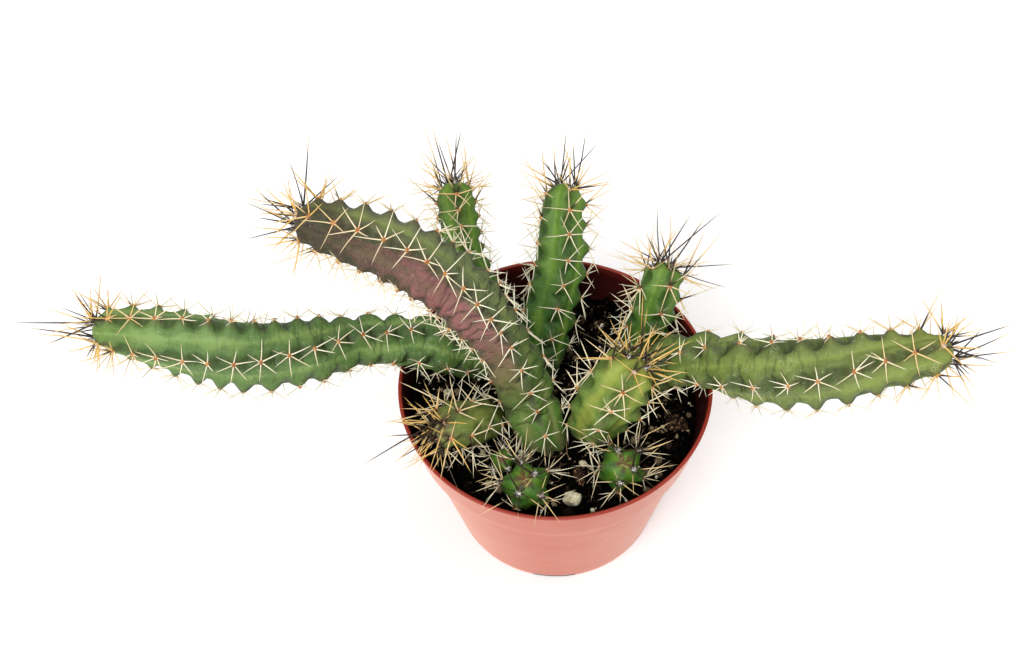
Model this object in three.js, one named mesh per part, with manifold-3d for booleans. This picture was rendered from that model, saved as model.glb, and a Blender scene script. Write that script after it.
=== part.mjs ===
// A potted lady finger cactus (Echinocereus pentalophus) in a 10.5 cm plastic nursery pot.
// Millimetres, +Z up. The origin is the middle of the pot's underside, and -Y is the front.
// Each stem is one body: five ribs with areoles in a spiral, and three-sided spines grown from each areole.

import * as THREE from 'three';
import { mergeVertices } from 'three/addons/utils/BufferGeometryUtils.js';
import Module from 'manifold-3d';

// Pot
const POT_HEIGHT = 74;
const POT_RIM_RADIUS = 52.5;
const POT_COLLAR_HEIGHT = 16.5;
const POT_COLLAR_TAPER = 2.6;
const POT_COLLAR_STEP = 2;
const POT_STEP_RISE = 2;
const POT_BASE_RADIUS = 38.6;
const POT_WALL = 1.3;
const POT_WALL_LIFT = 0.5;
const POT_FLOOR = 2.4;
const POT_SIDES = 44;
const FOOT_GROOVES = 4;
const FOOT_GROOVE_WIDTH = 15;
const FOOT_GROOVE_HEIGHT = 0.9;
const FOOT_GROOVE_START = 19;
const FOOT_GROOVE_TURN = -95;
const DRAIN_HOLE_RADIUS = 4.5;
const DRAIN_HOLE_CIRCLE = 27;

// Soil
const CLEARANCE = 0.3;
const SOIL_LEVEL = 63;
const SOIL_FALL_RIGHT = 1.9;
const SOIL_FALL_BACK = 2.3;
const SOIL_LUMP = 0.8;
const SOIL_RINGS = 7;
const SOIL_SIDES = 32;
const SOCKET_SIDES = 10;
const SOCKET_STEP = 4;
const SOCKET_REACH = 30;
const SOCKET_EASE = 0.3;

// Stems
const RIBS = 5;
const RIB_STEP = (2 * Math.PI) / RIBS;
const VALLEY_DEPTH = 0.25;
const VALLEY_STEP = 5.5;
const NOTCH_DEPTH = 0.24;
const FULL_NOTCH_SPACING = 7;
const CREST_HALF_WIDTH = 0.95;
const PAD_RADIUS = 1.1;
const PAD_RAISE = 0.3;
const PAD_SPACING = 3.2;
const PAD_FACETS = 6;
const DOME = 0.95;
const RELIEF_START = 9;
const RELIEF_LENGTH = 8;
const YOUNGEST_AREOLE = 2.6;
const YOUNG_POWER = 1.25;
const LOWEST_AREOLE = 5;
const BARE_ABOVE_SOIL = 2.2;

// Shoots: stems of so few points, with a flatter top, deeper furrows and ribs that start lower
const SHOOT_POINTS = 4;
const SHOOT_DOME = 0.75;
const SHOOT_VALLEY_DEPTH = 0.32;
const SHOOT_RELIEF = 0.4;

// Spines
const SPINE_ROOT = 0.6;
const SPINE_SPACING = 0.16;
const SPINE_TRIES = 10;
const SPINE_MIN_LENGTH = 3.5;
const RADIAL_LENGTH = 8;
const OLD_RADIAL_LOSS = 0.25;
const YOUNG_RADIAL_GAIN = 0.6;
const CENTRAL_LENGTH = 25;
const CENTRAL_TURNS = 1.3;
const CENTRAL_REACH = 2.4;
const PAIRED_REACH = 1.6;
const SHOOT_CENTRAL_REACH = 1;
const MISSING_SHARE = 0.08;
const OLD_MISSING_SHARE = 0.36;
const SEED = 20240;

// The side that the ribs' angles are counted from: up and to the front.
const FACING = new THREE.Vector3(0, -0.612, 0.791);

// Each stem: the middle line from its root in the soil to its tip, and its radius by share of its length.
// `row` holds the distances from the tip of the areoles on the rib in front, and `start` is how many turns
// of the areoles' spiral lie above its first. Then come the first rib's angle in degrees at the root, the
// ribs' turn in degrees a millimetre, which way the spiral runs, how deep the notches between the areoles
// are, and how long the spines are.
const STEMS = [
  {
    name: 'stem_left_long',
    path: [[-21, 16, 51], [-25.5, 15.5, 61], [-31, 14, 70.5], [-38.3, 12, 78.6], [-45.5, 12, 82.4],
      [-52.5, 11, 84.6], [-62, 9, 88.5], [-74.5, 3.8, 93], [-91.5, -0.3, 97.4], [-103, -0.5, 100.6],
      [-119, 2.5, 103.7], [-135.5, 5.5, 106.5], [-143.5, 6, 107.6]],
    radii: [[0, 6.5], [0.12, 8], [0.25, 9.6], [0.36, 9.2], [0.44, 9.3], [0.54, 11.4], [0.67, 12.2],
      [0.77, 11.6], [0.87, 10.2], [0.94, 8.6], [1, 6.4]],
    row: [12.3, 19.5, 27, 35.8, 42.5, 48.8, 55.5, 63.5, 70.8, 77.8, 86.3, 94.5, 104, 113, 122],
    start: 1.8, angle: -156, turn: -0.75, hand: 1,
    notch: 1, spines: 0.95, colour: '#56763f',
  },
  {
    name: 'stem_arching',
    path: [[-4.3, -17, 50], [-5.2, -16.5, 61], [-9.3, -7.5, 73.5], [-13.5, -4.2, 90], [-17, -4.5, 103],
      [-20.5, -7.5, 116], [-24, -7.4, 123.5], [-29, -4.5, 129.5], [-34, -2.5, 133.3], [-39, 0, 136.2],
      [-44.5, 2.7, 138], [-51, 5.7, 139.4], [-58, 8.8, 140.2], [-64.5, 11.8, 140.5],
      [-73.5, 16.5, 140]],
    radii: [[0, 7.4], [0.08, 8.8], [0.18, 10], [0.3, 9.9], [0.42, 8.8], [0.52, 9.1], [0.6, 10.6],
      [0.72, 10.8], [0.82, 10.3], [0.92, 8.8], [1, 6.3]],
    row: [18.8, 26.1, 33.3, 39.8, 44.6, 49.3, 54.8, 60.2, 64.2, 69, 77, 93.2, 105.3, 116.1, 127.8],
    start: 2.6, angle: -64, turn: 0, hand: 1,
    notch: 1, spines: 1.08, colour: '#6c5a52',
  },
  {
    name: 'stem_back_left',
    path: [[-15, 30, 50], [-17, 32.5, 61], [-22, 37, 75], [-26, 41.5, 84], [-28.5, 46.5, 90.5],
      [-29.3, 52, 97.5], [-29.8, 57, 103], [-30.3, 62, 107]],
    radii: [[0, 5.5], [0.3, 6.6], [0.6, 7.3], [0.8, 7.6], [0.92, 7.2], [1, 6]],
    row: [8.3, 12.8, 18.1, 24, 30.5, 37.5, 45, 53],
    start: 1.2, angle: -136, turn: 0, hand: 1,
    notch: 1, spines: 1.15, colour: '#5a7a42',
  },
  {
    name: 'stem_back',
    path: [[-3.5, 15.5, 50], [-3.2, 18, 61], [-1, 24.5, 73], [1.5, 29.5, 81], [4, 34.5, 88],
      [5.4, 40, 94.5], [6.2, 46, 101], [7.4, 51, 105.5], [8.6, 55.5, 109]],
    radii: [[0, 7], [0.15, 8.2], [0.35, 10.3], [0.5, 10.2], [0.7, 9.8], [0.85, 8.6], [0.93, 7.8],
      [1, 6.2]],
    row: [12.6, 20.1, 28.4, 36.1, 43.9, 54.9, 63],
    start: 1.6, angle: -57, turn: 0, hand: 1,
    notch: 1, spines: 1.15, colour: '#557a3d',
  },
  {
    name: 'stem_back_right',
    path: [[31, 19.5, 50], [32, 20.5, 61], [34.3, 22, 72], [36.6, 24.5, 80], [38.8, 27.5, 86.5],
      [41, 31.5, 92]],
    radii: [[0, 6], [0.3, 7.8], [0.6, 8.6], [0.8, 8.2], [0.92, 7.6], [1, 6.3]],
    row: [9.3, 17.8, 24.3, 32],
    start: 1.2, angle: -132, turn: 0.1, hand: 1,
    notch: 1, spines: 1.15, colour: '#5b7a40',
  },
  {
    name: 'stem_right_long',
    path: [[24.5, 4, 50], [27, 3.8, 61], [33, 2, 72], [40, -0.8, 79.3], [47, -4, 83.4],
      [51.5, -6.7, 85.2], [57, -11.3, 89.8], [65, -17, 94.8], [73, -20.9, 98.9], [82, -23.6, 103.1],
      [91.5, -25, 106.9], [100.5, -26, 110], [108, -26.4, 112.2], [113, -26.5, 113.6]],
    radii: [[0, 6.5], [0.15, 8.3], [0.3, 9.6], [0.38, 10.2], [0.46, 11.2], [0.56, 11.9], [0.66, 12],
      [0.76, 11], [0.86, 9.2], [0.94, 7.6], [1, 6]],
    row: [6.4, 14.3, 22, 30.3, 39.3, 46.8, 56.3, 66.3, 78, 88, 98, 108],
    start: 0.8, angle: -52, turn: -0.95, hand: -1,
    notch: 1.3, spines: 0.85, colour: '#5f7844',
  },
  {
    name: 'stem_centre_right',
    path: [[12, -13.5, 50], [11.8, -14, 61], [13.2, -15, 72], [16.6, -14.5, 82], [20.6, -13.5, 91],
      [25.2, -12, 98.5]],
    radii: [[0, 6.8], [0.2, 7.6], [0.42, 10.2], [0.62, 12.1], [0.82, 11], [0.92, 9.8], [1, 8.2]],
    row: [5.2, 11.2, 18.1, 27, 35],
    start: 0.8, angle: 139, turn: 0.3, hand: 1,
    notch: 1, spines: 1.1, colour: '#73904a',
  },
  {
    name: 'stem_front_left',
    path: [[-22.5, -9, 52], [-22.8, -9.5, 61], [-24.3, -11.5, 67.5], [-28.5, -15.5, 74.5],
      [-33.5, -20, 80], [-38.7, -24, 84]],
    radii: [[0, 5.6], [0.25, 6.8], [0.5, 8.2], [0.75, 8.3], [0.9, 7.6], [1, 6.4]],
    row: [5, 11.1, 19, 26.5, 34],
    start: 0.8, angle: -164, turn: -2.4, hand: 1,
    notch: 1, spines: 1.1, colour: '#71824b',
  },
  {
    name: 'shoot_front',
    path: [[-11, -35.5, 55], [-11.2, -36.5, 63], [-11.8, -38.5, 71], [-12.2, -40, 78]],
    radii: [[0, 4.6], [0.35, 6.9], [0.6, 8.5], [1, 8.2]],
    row: [4.8, 9.8, 15.2],
    start: 0.4, angle: 110, turn: 0, hand: -1,
    notch: 1, spines: 1.05, colour: '#5f8a3e',
  },
  {
    name: 'shoot_front_right',
    path: [[17.8, -30.6, 55], [18, -31.6, 63], [18.6, -33.6, 70], [19.3, -35.6, 76]],
    radii: [[0, 4.4], [0.35, 6.5], [0.6, 8.1], [1, 7.8]],
    row: [4.9, 9.8, 15.2],
    start: 0.4, angle: 74, turn: 0, hand: 1,
    notch: 1, spines: 1.05, colour: '#5f8a3e',
  },
  {
    name: 'shoot_small',
    path: [[-18.6, -26, 57], [-18.6, -26.4, 63], [-18.7, -27.6, 68], [-18.9, -28.8, 72]],
    radii: [[0, 3], [0.4, 3.7], [0.7, 4.3], [1, 4.1]],
    row: [3, 6.2, 10],
    start: 0, angle: 20, turn: 0, hand: 1,
    notch: 1, spines: 0.7, colour: '#5b6a3d',
  },
];

// Chips in the soil's surface: the middle, the half sizes, and how finely the stone is faceted.
const CHIPS = [
  {
    name: 'perlite_front',
    centre: [2.2, -41.3], half: [3.5, 3, 2.6], rise: 1.2, detail: 1, colour: '#d9d3bd',
  },
  {
    name: 'perlite_left',
    centre: [-36.5, 2.5], half: [2, 1.7, 1.6], rise: 0.9, detail: 0, colour: '#ded8c6',
  },
  {
    name: 'bark_right',
    centre: [40.2, -14], half: [3.6, 3.9, 1.5], rise: 0.9, detail: 0, colour: '#8a6a4c',
  },
  {
    name: 'bark_front',
    centre: [5.5, -33], half: [3.6, 1.9, 1.3], rise: 0.7, detail: 0, colour: '#6f5138',
  },
];

const wasm = await Module();
wasm.setup();

// A repeatable number from 0 to 1 for whole-number keys.
function draw(...keys) {
  let hash = SEED;
  for (const key of keys) {
    hash = Math.imul(hash ^ (key + 0x9e3779b9), 0x85ebca6b);
    hash ^= hash >>> 13;
    hash = Math.imul(hash, 0xc2b2ae35);
    hash ^= hash >>> 16;
  }
  return (hash >>> 0) / 4294967296;
}

function clamp01(value) {
  return Math.min(1, Math.max(0, value));
}

function smooth(value) {
  const t = clamp01(value);
  return t * t * (3 - 2 * t);
}

// The value of a list of [share, value] pairs, eased from one pair to the next.
function blendList(list, share) {
  for (let i = 1; i < list.length; i += 1) {
    const [start, from] = list[i - 1];
    const [end, to] = list[i];
    if (share <= end) {
      return from + (to - from) * smooth((share - start) / (end - start));
    }
  }
  return list[list.length - 1][1];
}

// A closed surface that is built up from shared points.
class Skin {
  constructor() {
    this.points = [];
    this.faces = [];
  }

  point(vector) {
    this.points.push(vector.clone());
    return this.points.length - 1;
  }

  face(a, b, c) {
    if (a !== b && b !== c && c !== a) {
      this.faces.push(a, b, c);
    }
  }

  // Fills the strip between two rows of { index, at }, where `right` lies on the side of greater angle.
  strip(left, right) {
    let i = 0;
    let j = 0;
    while (i < left.length - 1 || j < right.length - 1) {
      const canLeft = i < left.length - 1;
      const canRight = j < right.length - 1;
      const leftFirst = canLeft && (!canRight || left[i + 1].at + left[i].at < right[j + 1].at + right[j].at);
      if (leftFirst) {
        this.face(left[i].index, right[j].index, left[i + 1].index);
        i += 1;
      } else {
        this.face(left[i].index, right[j].index, right[j + 1].index);
        j += 1;
      }
    }
  }

  geometry() {
    const geometry = new THREE.BufferGeometry();
    const positions = this.points.flatMap((p) => [p.x, p.y, p.z]);
    geometry.setAttribute('position', new THREE.Float32BufferAttribute(positions, 3));
    geometry.setIndex(this.faces);
    return geometry;
  }
}

function toSolid(geometry) {
  const bare = geometry.clone();
  bare.deleteAttribute('normal');
  bare.deleteAttribute('uv');
  const merged = mergeVertices(bare, 1e-4);
  return new wasm.Manifold(new wasm.Mesh({
    numProp: 3,
    vertProperties: new Float32Array(merged.attributes.position.array),
    triVerts: new Uint32Array(merged.index.array),
  }));
}

function toGeometry(solid) {
  const mesh = solid.getMesh();
  const geometry = new THREE.BufferGeometry();
  geometry.setAttribute('position', new THREE.BufferAttribute(new Float32Array(mesh.vertProperties), 3));
  geometry.setIndex(new THREE.BufferAttribute(new Uint32Array(mesh.triVerts), 1));
  return geometry;
}

function named(name, geometry, colour, roughness) {
  const material = new THREE.MeshStandardMaterial({ color: colour, roughness, metalness: 0 });
  const mesh = new THREE.Mesh(geometry, material);
  mesh.name = name;
  return mesh;
}

// Pot
const COLLAR_BOTTOM = POT_HEIGHT - POT_COLLAR_HEIGHT;
const COLLAR_RADIUS = POT_RIM_RADIUS - POT_COLLAR_TAPER;
const BODY_TOP = COLLAR_BOTTOM - POT_STEP_RISE;
const BODY_TOP_RADIUS = COLLAR_RADIUS - POT_COLLAR_STEP;

// The outer wall: a cone, a short slope out under the collar, and the collar, which widens up to the lip.
function potOuterRadius(z) {
  if (z > COLLAR_BOTTOM) {
    return COLLAR_RADIUS + (POT_COLLAR_TAPER * (z - COLLAR_BOTTOM)) / POT_COLLAR_HEIGHT;
  }
  if (z > BODY_TOP) {
    return BODY_TOP_RADIUS + (POT_COLLAR_STEP * (z - BODY_TOP)) / POT_STEP_RISE;
  }
  return POT_BASE_RADIUS + ((BODY_TOP_RADIUS - POT_BASE_RADIUS) * z) / BODY_TOP;
}

// The inner slope lies a little higher than the outer one, which keeps the wall as thick there.
function potInnerRadius(z) {
  return potOuterRadius(Math.max(0, z - POT_WALL_LIFT)) - POT_WALL;
}

function potGeometry() {
  const inside = POT_RIM_RADIUS - POT_WALL;
  const profile = [
    [0, 0],
    [POT_BASE_RADIUS - 0.9, 0],
    [potOuterRadius(0.9), 0.9],
    [BODY_TOP_RADIUS, BODY_TOP],
    [COLLAR_RADIUS, COLLAR_BOTTOM],
    [POT_RIM_RADIUS, POT_HEIGHT - 0.5],
    [POT_RIM_RADIUS - 0.4, POT_HEIGHT],
    [inside + 0.3, POT_HEIGHT],
    [inside, POT_HEIGHT - 0.5],
    [COLLAR_RADIUS - POT_WALL, COLLAR_BOTTOM + POT_WALL_LIFT],
    [BODY_TOP_RADIUS - POT_WALL, BODY_TOP + POT_WALL_LIFT],
    [potInnerRadius(POT_FLOOR + 1), POT_FLOOR + 1],
    [potInnerRadius(POT_FLOOR) - 1.2, POT_FLOOR],
    [0, POT_FLOOR],
  ];
  const lathe = new THREE.LatheGeometry(profile.map(([r, z]) => new THREE.Vector2(r, z)), POT_SIDES);
  lathe.rotateX(Math.PI / 2);
  let solid = toSolid(lathe);
  const grooveLength = POT_BASE_RADIUS + 4 - FOOT_GROOVE_START;
  for (let i = 0; i < FOOT_GROOVES; i += 1) {
    const turn = THREE.MathUtils.degToRad(FOOT_GROOVE_TURN) + (i * 2 * Math.PI) / FOOT_GROOVES;
    const groove = new THREE.BoxGeometry(grooveLength, FOOT_GROOVE_WIDTH, 2 * FOOT_GROOVE_HEIGHT);
    groove.translate(FOOT_GROOVE_START + grooveLength / 2, 0, 0);
    groove.rotateZ(turn);
    const hole = new THREE.CylinderGeometry(DRAIN_HOLE_RADIUS, DRAIN_HOLE_RADIUS, 4 * POT_FLOOR, 16);
    hole.rotateX(Math.PI / 2);
    hole.translate(DRAIN_HOLE_CIRCLE, 0, 0);
    hole.rotateZ(turn);
    solid = solid.subtract(toSolid(groove)).subtract(toSolid(hole));
  }
  return toGeometry(solid);
}

// Stems as middle lines, each with its radius and the directions of its ribs
function makeLine(stem) {
  const curve = new THREE.CatmullRomCurve3(stem.path.map((p) => new THREE.Vector3(...p)));
  curve.arcLengthDivisions = 400;
  const length = curve.getLength();
  const axis = (s) => curve.getPointAt(clamp01(s / length));
  const isShoot = stem.path.length <= SHOOT_POINTS;
  const dome = stem.radii[stem.radii.length - 1][1] * (isShoot ? SHOOT_DOME : DOME);
  const valleyDepth = isShoot ? SHOOT_VALLEY_DEPTH : VALLEY_DEPTH;
  const low = isShoot ? SHOOT_RELIEF : 1;
  const centralReach = isShoot ? SHOOT_CENTRAL_REACH : CENTRAL_REACH;
  const pairedReach = isShoot ? 0 : PAIRED_REACH;
  const domeStart = length - dome;
  const radius = (s) => {
    const inDome = Math.max(0, (s - domeStart) / dome);
    return blendList(stem.radii, s / length) * Math.sqrt(Math.max(0, 1 - inDome * inDome));
  };
  const along = (s) => axis(s + 0.6).sub(axis(s - 0.6)).normalize();
  const outward = (s, angle) => {
    const tangent = along(Math.min(s, length - 0.7));
    const front = FACING.clone().addScaledVector(tangent, -FACING.dot(tangent)).normalize();
    const side = tangent.clone().cross(front);
    return front.multiplyScalar(Math.cos(angle)).addScaledVector(side, Math.sin(angle));
  };
  const ribAngle = (rib, s) => rib * RIB_STEP + THREE.MathUtils.degToRad(stem.angle + stem.turn * s);
  const relief = (s) => smooth((s - RELIEF_START * low) / (RELIEF_LENGTH * low));
  const samples = [];
  for (let s = 0; s <= length; s += 1.2) {
    samples.push({ s, point: axis(s), radius: radius(s) });
  }
  return {
    stem, length, dome, domeStart, valleyDepth, centralReach, pairedReach,
    axis, along, radius, outward, ribAngle, relief, samples,
  };
}

const lines = STEMS.map(makeLine);

// A point on the envelope that the rib crests touch, or `share` of the way out to it.
function surfacePoint(line, s, angle, share) {
  return line.axis(s).addScaledVector(line.outward(s, angle), line.radius(s) * share);
}

// The place along the stem of a point that is `distance` from the tip over the surface.
function placeFromTip(line, distance) {
  const arc = (line.dome * Math.PI) / 2;
  if (distance < arc) {
    return line.domeStart + line.dome * Math.sin(Math.PI / 2 - distance / line.dome);
  }
  return line.domeStart - (distance - arc);
}

function soilHeight(x, y) {
  const lumps = Math.sin(x * 0.41 + 1.3) * Math.cos(y * 0.37 - 0.4)
    + 0.6 * Math.sin(x * 0.83 - y * 0.71) + 0.4 * Math.cos(x * 1.31 + y * 0.97);
  return SOIL_LEVEL - (SOIL_FALL_RIGHT * x + SOIL_FALL_BACK * y) / POT_BASE_RADIUS + SOIL_LUMP * lumps * 0.5;
}

// The distance from the tip, over the surface, of an areole that lies so many turns down the spiral.
function distanceAt(stem, turns) {
  const { row, start } = stem;
  const step = turns - start;
  if (step < 0) {
    return YOUNGEST_AREOLE + (row[0] - YOUNGEST_AREOLE) * (turns / start) ** YOUNG_POWER;
  }
  const i = Math.min(Math.floor(step), row.length - 2);
  return row[i] + (row[i + 1] - row[i]) * (step - i);
}

// The areoles of a stem, youngest first, in a two-fifths spiral over the ribs. The inside of a bend has
// fewer, because they would touch there.
function listAreoles(line) {
  const areoles = [];
  for (let number = 0; ; number += 1) {
    const turns = number / RIBS;
    const s = placeFromTip(line, distanceAt(line.stem, turns));
    if (s < LOWEST_AREOLE) {
      return areoles;
    }
    const rib = (((2 * number * line.stem.hand) % RIBS) + RIBS) % RIBS;
    const centre = surfacePoint(line, s, line.ribAngle(rib, s), 1);
    const crowded = areoles.some((other) => other.rib === rib && other.centre.distanceTo(centre) < PAD_SPACING);
    if (!crowded && centre.z > soilHeight(centre.x, centre.y) + BARE_ABOVE_SOIL) {
      areoles.push({ number, turns, rib, s, centre });
    }
  }
}

// The raised six-sided pad of an areole: its middle, its corners, and the directions on it.
function makePad(line, areole) {
  const angle = line.ribAngle(areole.rib, areole.s);
  const step = 0.4;
  const out = line.outward(areole.s, angle);
  const side = line.along(Math.min(areole.s, line.length - 0.7)).cross(out).normalize();
  const along = surfacePoint(line, Math.min(areole.s + step, line.length), angle, 1)
    .sub(surfacePoint(line, areole.s - step, angle, 1)).normalize();
  const normal = side.clone().cross(along).normalize();
  const middle = surfacePoint(line, areole.s, angle, 1);
  const corners = [];
  for (let i = 0; i < PAD_FACETS; i += 1) {
    const turn = (i * 2 * Math.PI) / PAD_FACETS;
    const drop = 0.3 * Math.sin(turn) * Math.sin(turn);
    corners.push(middle.clone()
      .addScaledVector(along, PAD_RADIUS * Math.cos(turn))
      .addScaledVector(side, PAD_RADIUS * Math.sin(turn))
      .addScaledVector(normal, -drop));
  }
  middle.addScaledVector(normal, PAD_RAISE);
  return { middle, corners, along, side, normal };
}

// The shortest distance between two straight stretches, and where on each it lies.
function closestStretch(p1, q1, p2, q2) {
  const d1 = q1.clone().sub(p1);
  const d2 = q2.clone().sub(p2);
  const r = p1.clone().sub(p2);
  const a = d1.lengthSq();
  const e = d2.lengthSq();
  const b = d1.dot(d2);
  const c = d1.dot(r);
  const f = d2.dot(r);
  const denominator = a * e - b * b;
  let s = denominator > 1e-9 ? clamp01((b * f - c * e) / denominator) : 0;
  const t = clamp01((b * s + f) / e);
  s = clamp01((b * t - c) / a);
  const distance = p1.clone().addScaledVector(d1, s).distanceTo(p2.clone().addScaledVector(d2, t));
  return { distance, s, t };
}

const grownSpines = [];

// True where a point is within a margin of a stem's rounded body, judged at its nearest place.
function stemCovers(line, q, margin) {
  let nearest = line.samples[0];
  for (const sample of line.samples) {
    if (sample.point.distanceTo(q) < nearest.point.distanceTo(q)) {
      nearest = sample;
    }
  }
  const offset = q.clone().sub(nearest.point);
  const ahead = offset.dot(line.along(nearest.s));
  const place = nearest.s + ahead;
  const aside = Math.sqrt(Math.max(0, offset.lengthSq() - ahead * ahead));
  const radius = line.radius(Math.min(Math.max(place, 0), line.length));
  return aside < radius + margin && place < line.length + margin;
}

function spineIsClear(spine) {
  const steps = 10;
  for (let i = 2; i <= steps; i += 1) {
    const share = i / steps;
    const q = spine.root.clone().lerp(spine.tip, share);
    const thick = SPINE_ROOT * (1 - share) + 0.1;
    const ownRoom = thick + 0.25 + PAD_RAISE;
    if (spine.root.distanceTo(q) >= 2.4 && stemCovers(spine.line, q, ownRoom)) {
      return false;
    }
    for (const line of lines) {
      if (line === spine.line) {
        continue;
      }
      for (const sample of line.samples) {
        if (sample.point.distanceTo(q) < sample.radius + thick + 0.45 + PAD_RAISE) {
          return false;
        }
      }
    }
    const r = Math.hypot(q.x, q.y);
    if (q.z < POT_HEIGHT + thick + CLEARANCE && r < POT_RIM_RADIUS + thick + CLEARANCE
      && r > potInnerRadius(q.z) - thick - CLEARANCE) {
      return false;
    }
    if (r < POT_RIM_RADIUS && q.z < soilHeight(q.x, q.y) + 1.1 + thick) {
      return false;
    }
    for (const chip of CHIPS) {
      const reach = Math.max(...chip.half) + thick + CLEARANCE;
      if (Math.hypot(q.x - chip.centre[0], q.y - chip.centre[1]) < reach && q.z < SOIL_LEVEL + 7) {
        return false;
      }
    }
  }
  return grownSpines.every((other) => {
    if (other.areole === spine.areole) {
      return other.direction.angleTo(spine.direction) > 0.42;
    }
    if (other.root.distanceTo(spine.root) > other.length + spine.length) {
      return true;
    }
    const { distance, s, t } = closestStretch(spine.root, spine.tip, other.root, other.tip);
    return distance > SPINE_ROOT * (2 - s - t) + SPINE_SPACING;
  });
}

// Finds a free direction for the spine on one facet of a pad, or none.
function growSpine(line, stemNumber, areole, pad, facet) {
  const key = [stemNumber, areole.number, facet];
  const youth = Math.exp(-areole.turns / CENTRAL_TURNS);
  const age = 1 - areole.s / line.length;
  const first = facet === (areole.number % 2) * 5 && areole.turns < line.centralReach;
  const second = facet === 5 - (areole.number % 2) * 5 && areole.turns < line.pairedReach;
  const central = first || second;
  if (!central && draw(...key, 1) < MISSING_SHARE + OLD_MISSING_SHARE * age) {
    return null;
  }
  const radialLength = RADIAL_LENGTH * (1 + YOUNG_RADIAL_GAIN * youth - OLD_RADIAL_LOSS * age);
  const a = pad.corners[facet];
  const b = pad.corners[(facet + 1) % PAD_FACETS];
  const root = pad.middle.clone().add(a).add(b).multiplyScalar(1 / 3);
  for (let attempt = 0; attempt < SPINE_TRIES; attempt += 1) {
    const fit = line.stem.spines * (1 - 0.055 * attempt);
    const jitter = draw(...key, 2, attempt) - 0.5;
    const turn = ((facet + 0.5) * 2 * Math.PI) / PAD_FACETS + jitter * (0.35 + 0.06 * attempt);
    const lean = draw(...key, 3, attempt);
    const rise = central ? 0.65 + 0.45 * lean : 0.2 + 0.36 * lean + 0.45 * youth + 0.05 * attempt;
    const size = draw(...key, 4, attempt);
    const length = central
      ? CENTRAL_LENGTH * (0.6 + 0.5 * size) * (0.45 + 0.5 * youth) * fit
      : radialLength * (0.75 + 0.45 * size) * fit;
    const direction = pad.along.clone().multiplyScalar(Math.cos(rise) * Math.cos(turn))
      .addScaledVector(pad.side, Math.cos(rise) * Math.sin(turn))
      .addScaledVector(pad.normal, Math.sin(rise));
    const tip = root.clone().addScaledVector(direction, length);
    const spine = { line, areole, root, tip, direction, length };
    if (length > SPINE_MIN_LENGTH && spineIsClear(spine)) {
      grownSpines.push(spine);
      return spine;
    }
  }
  return null;
}

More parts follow.
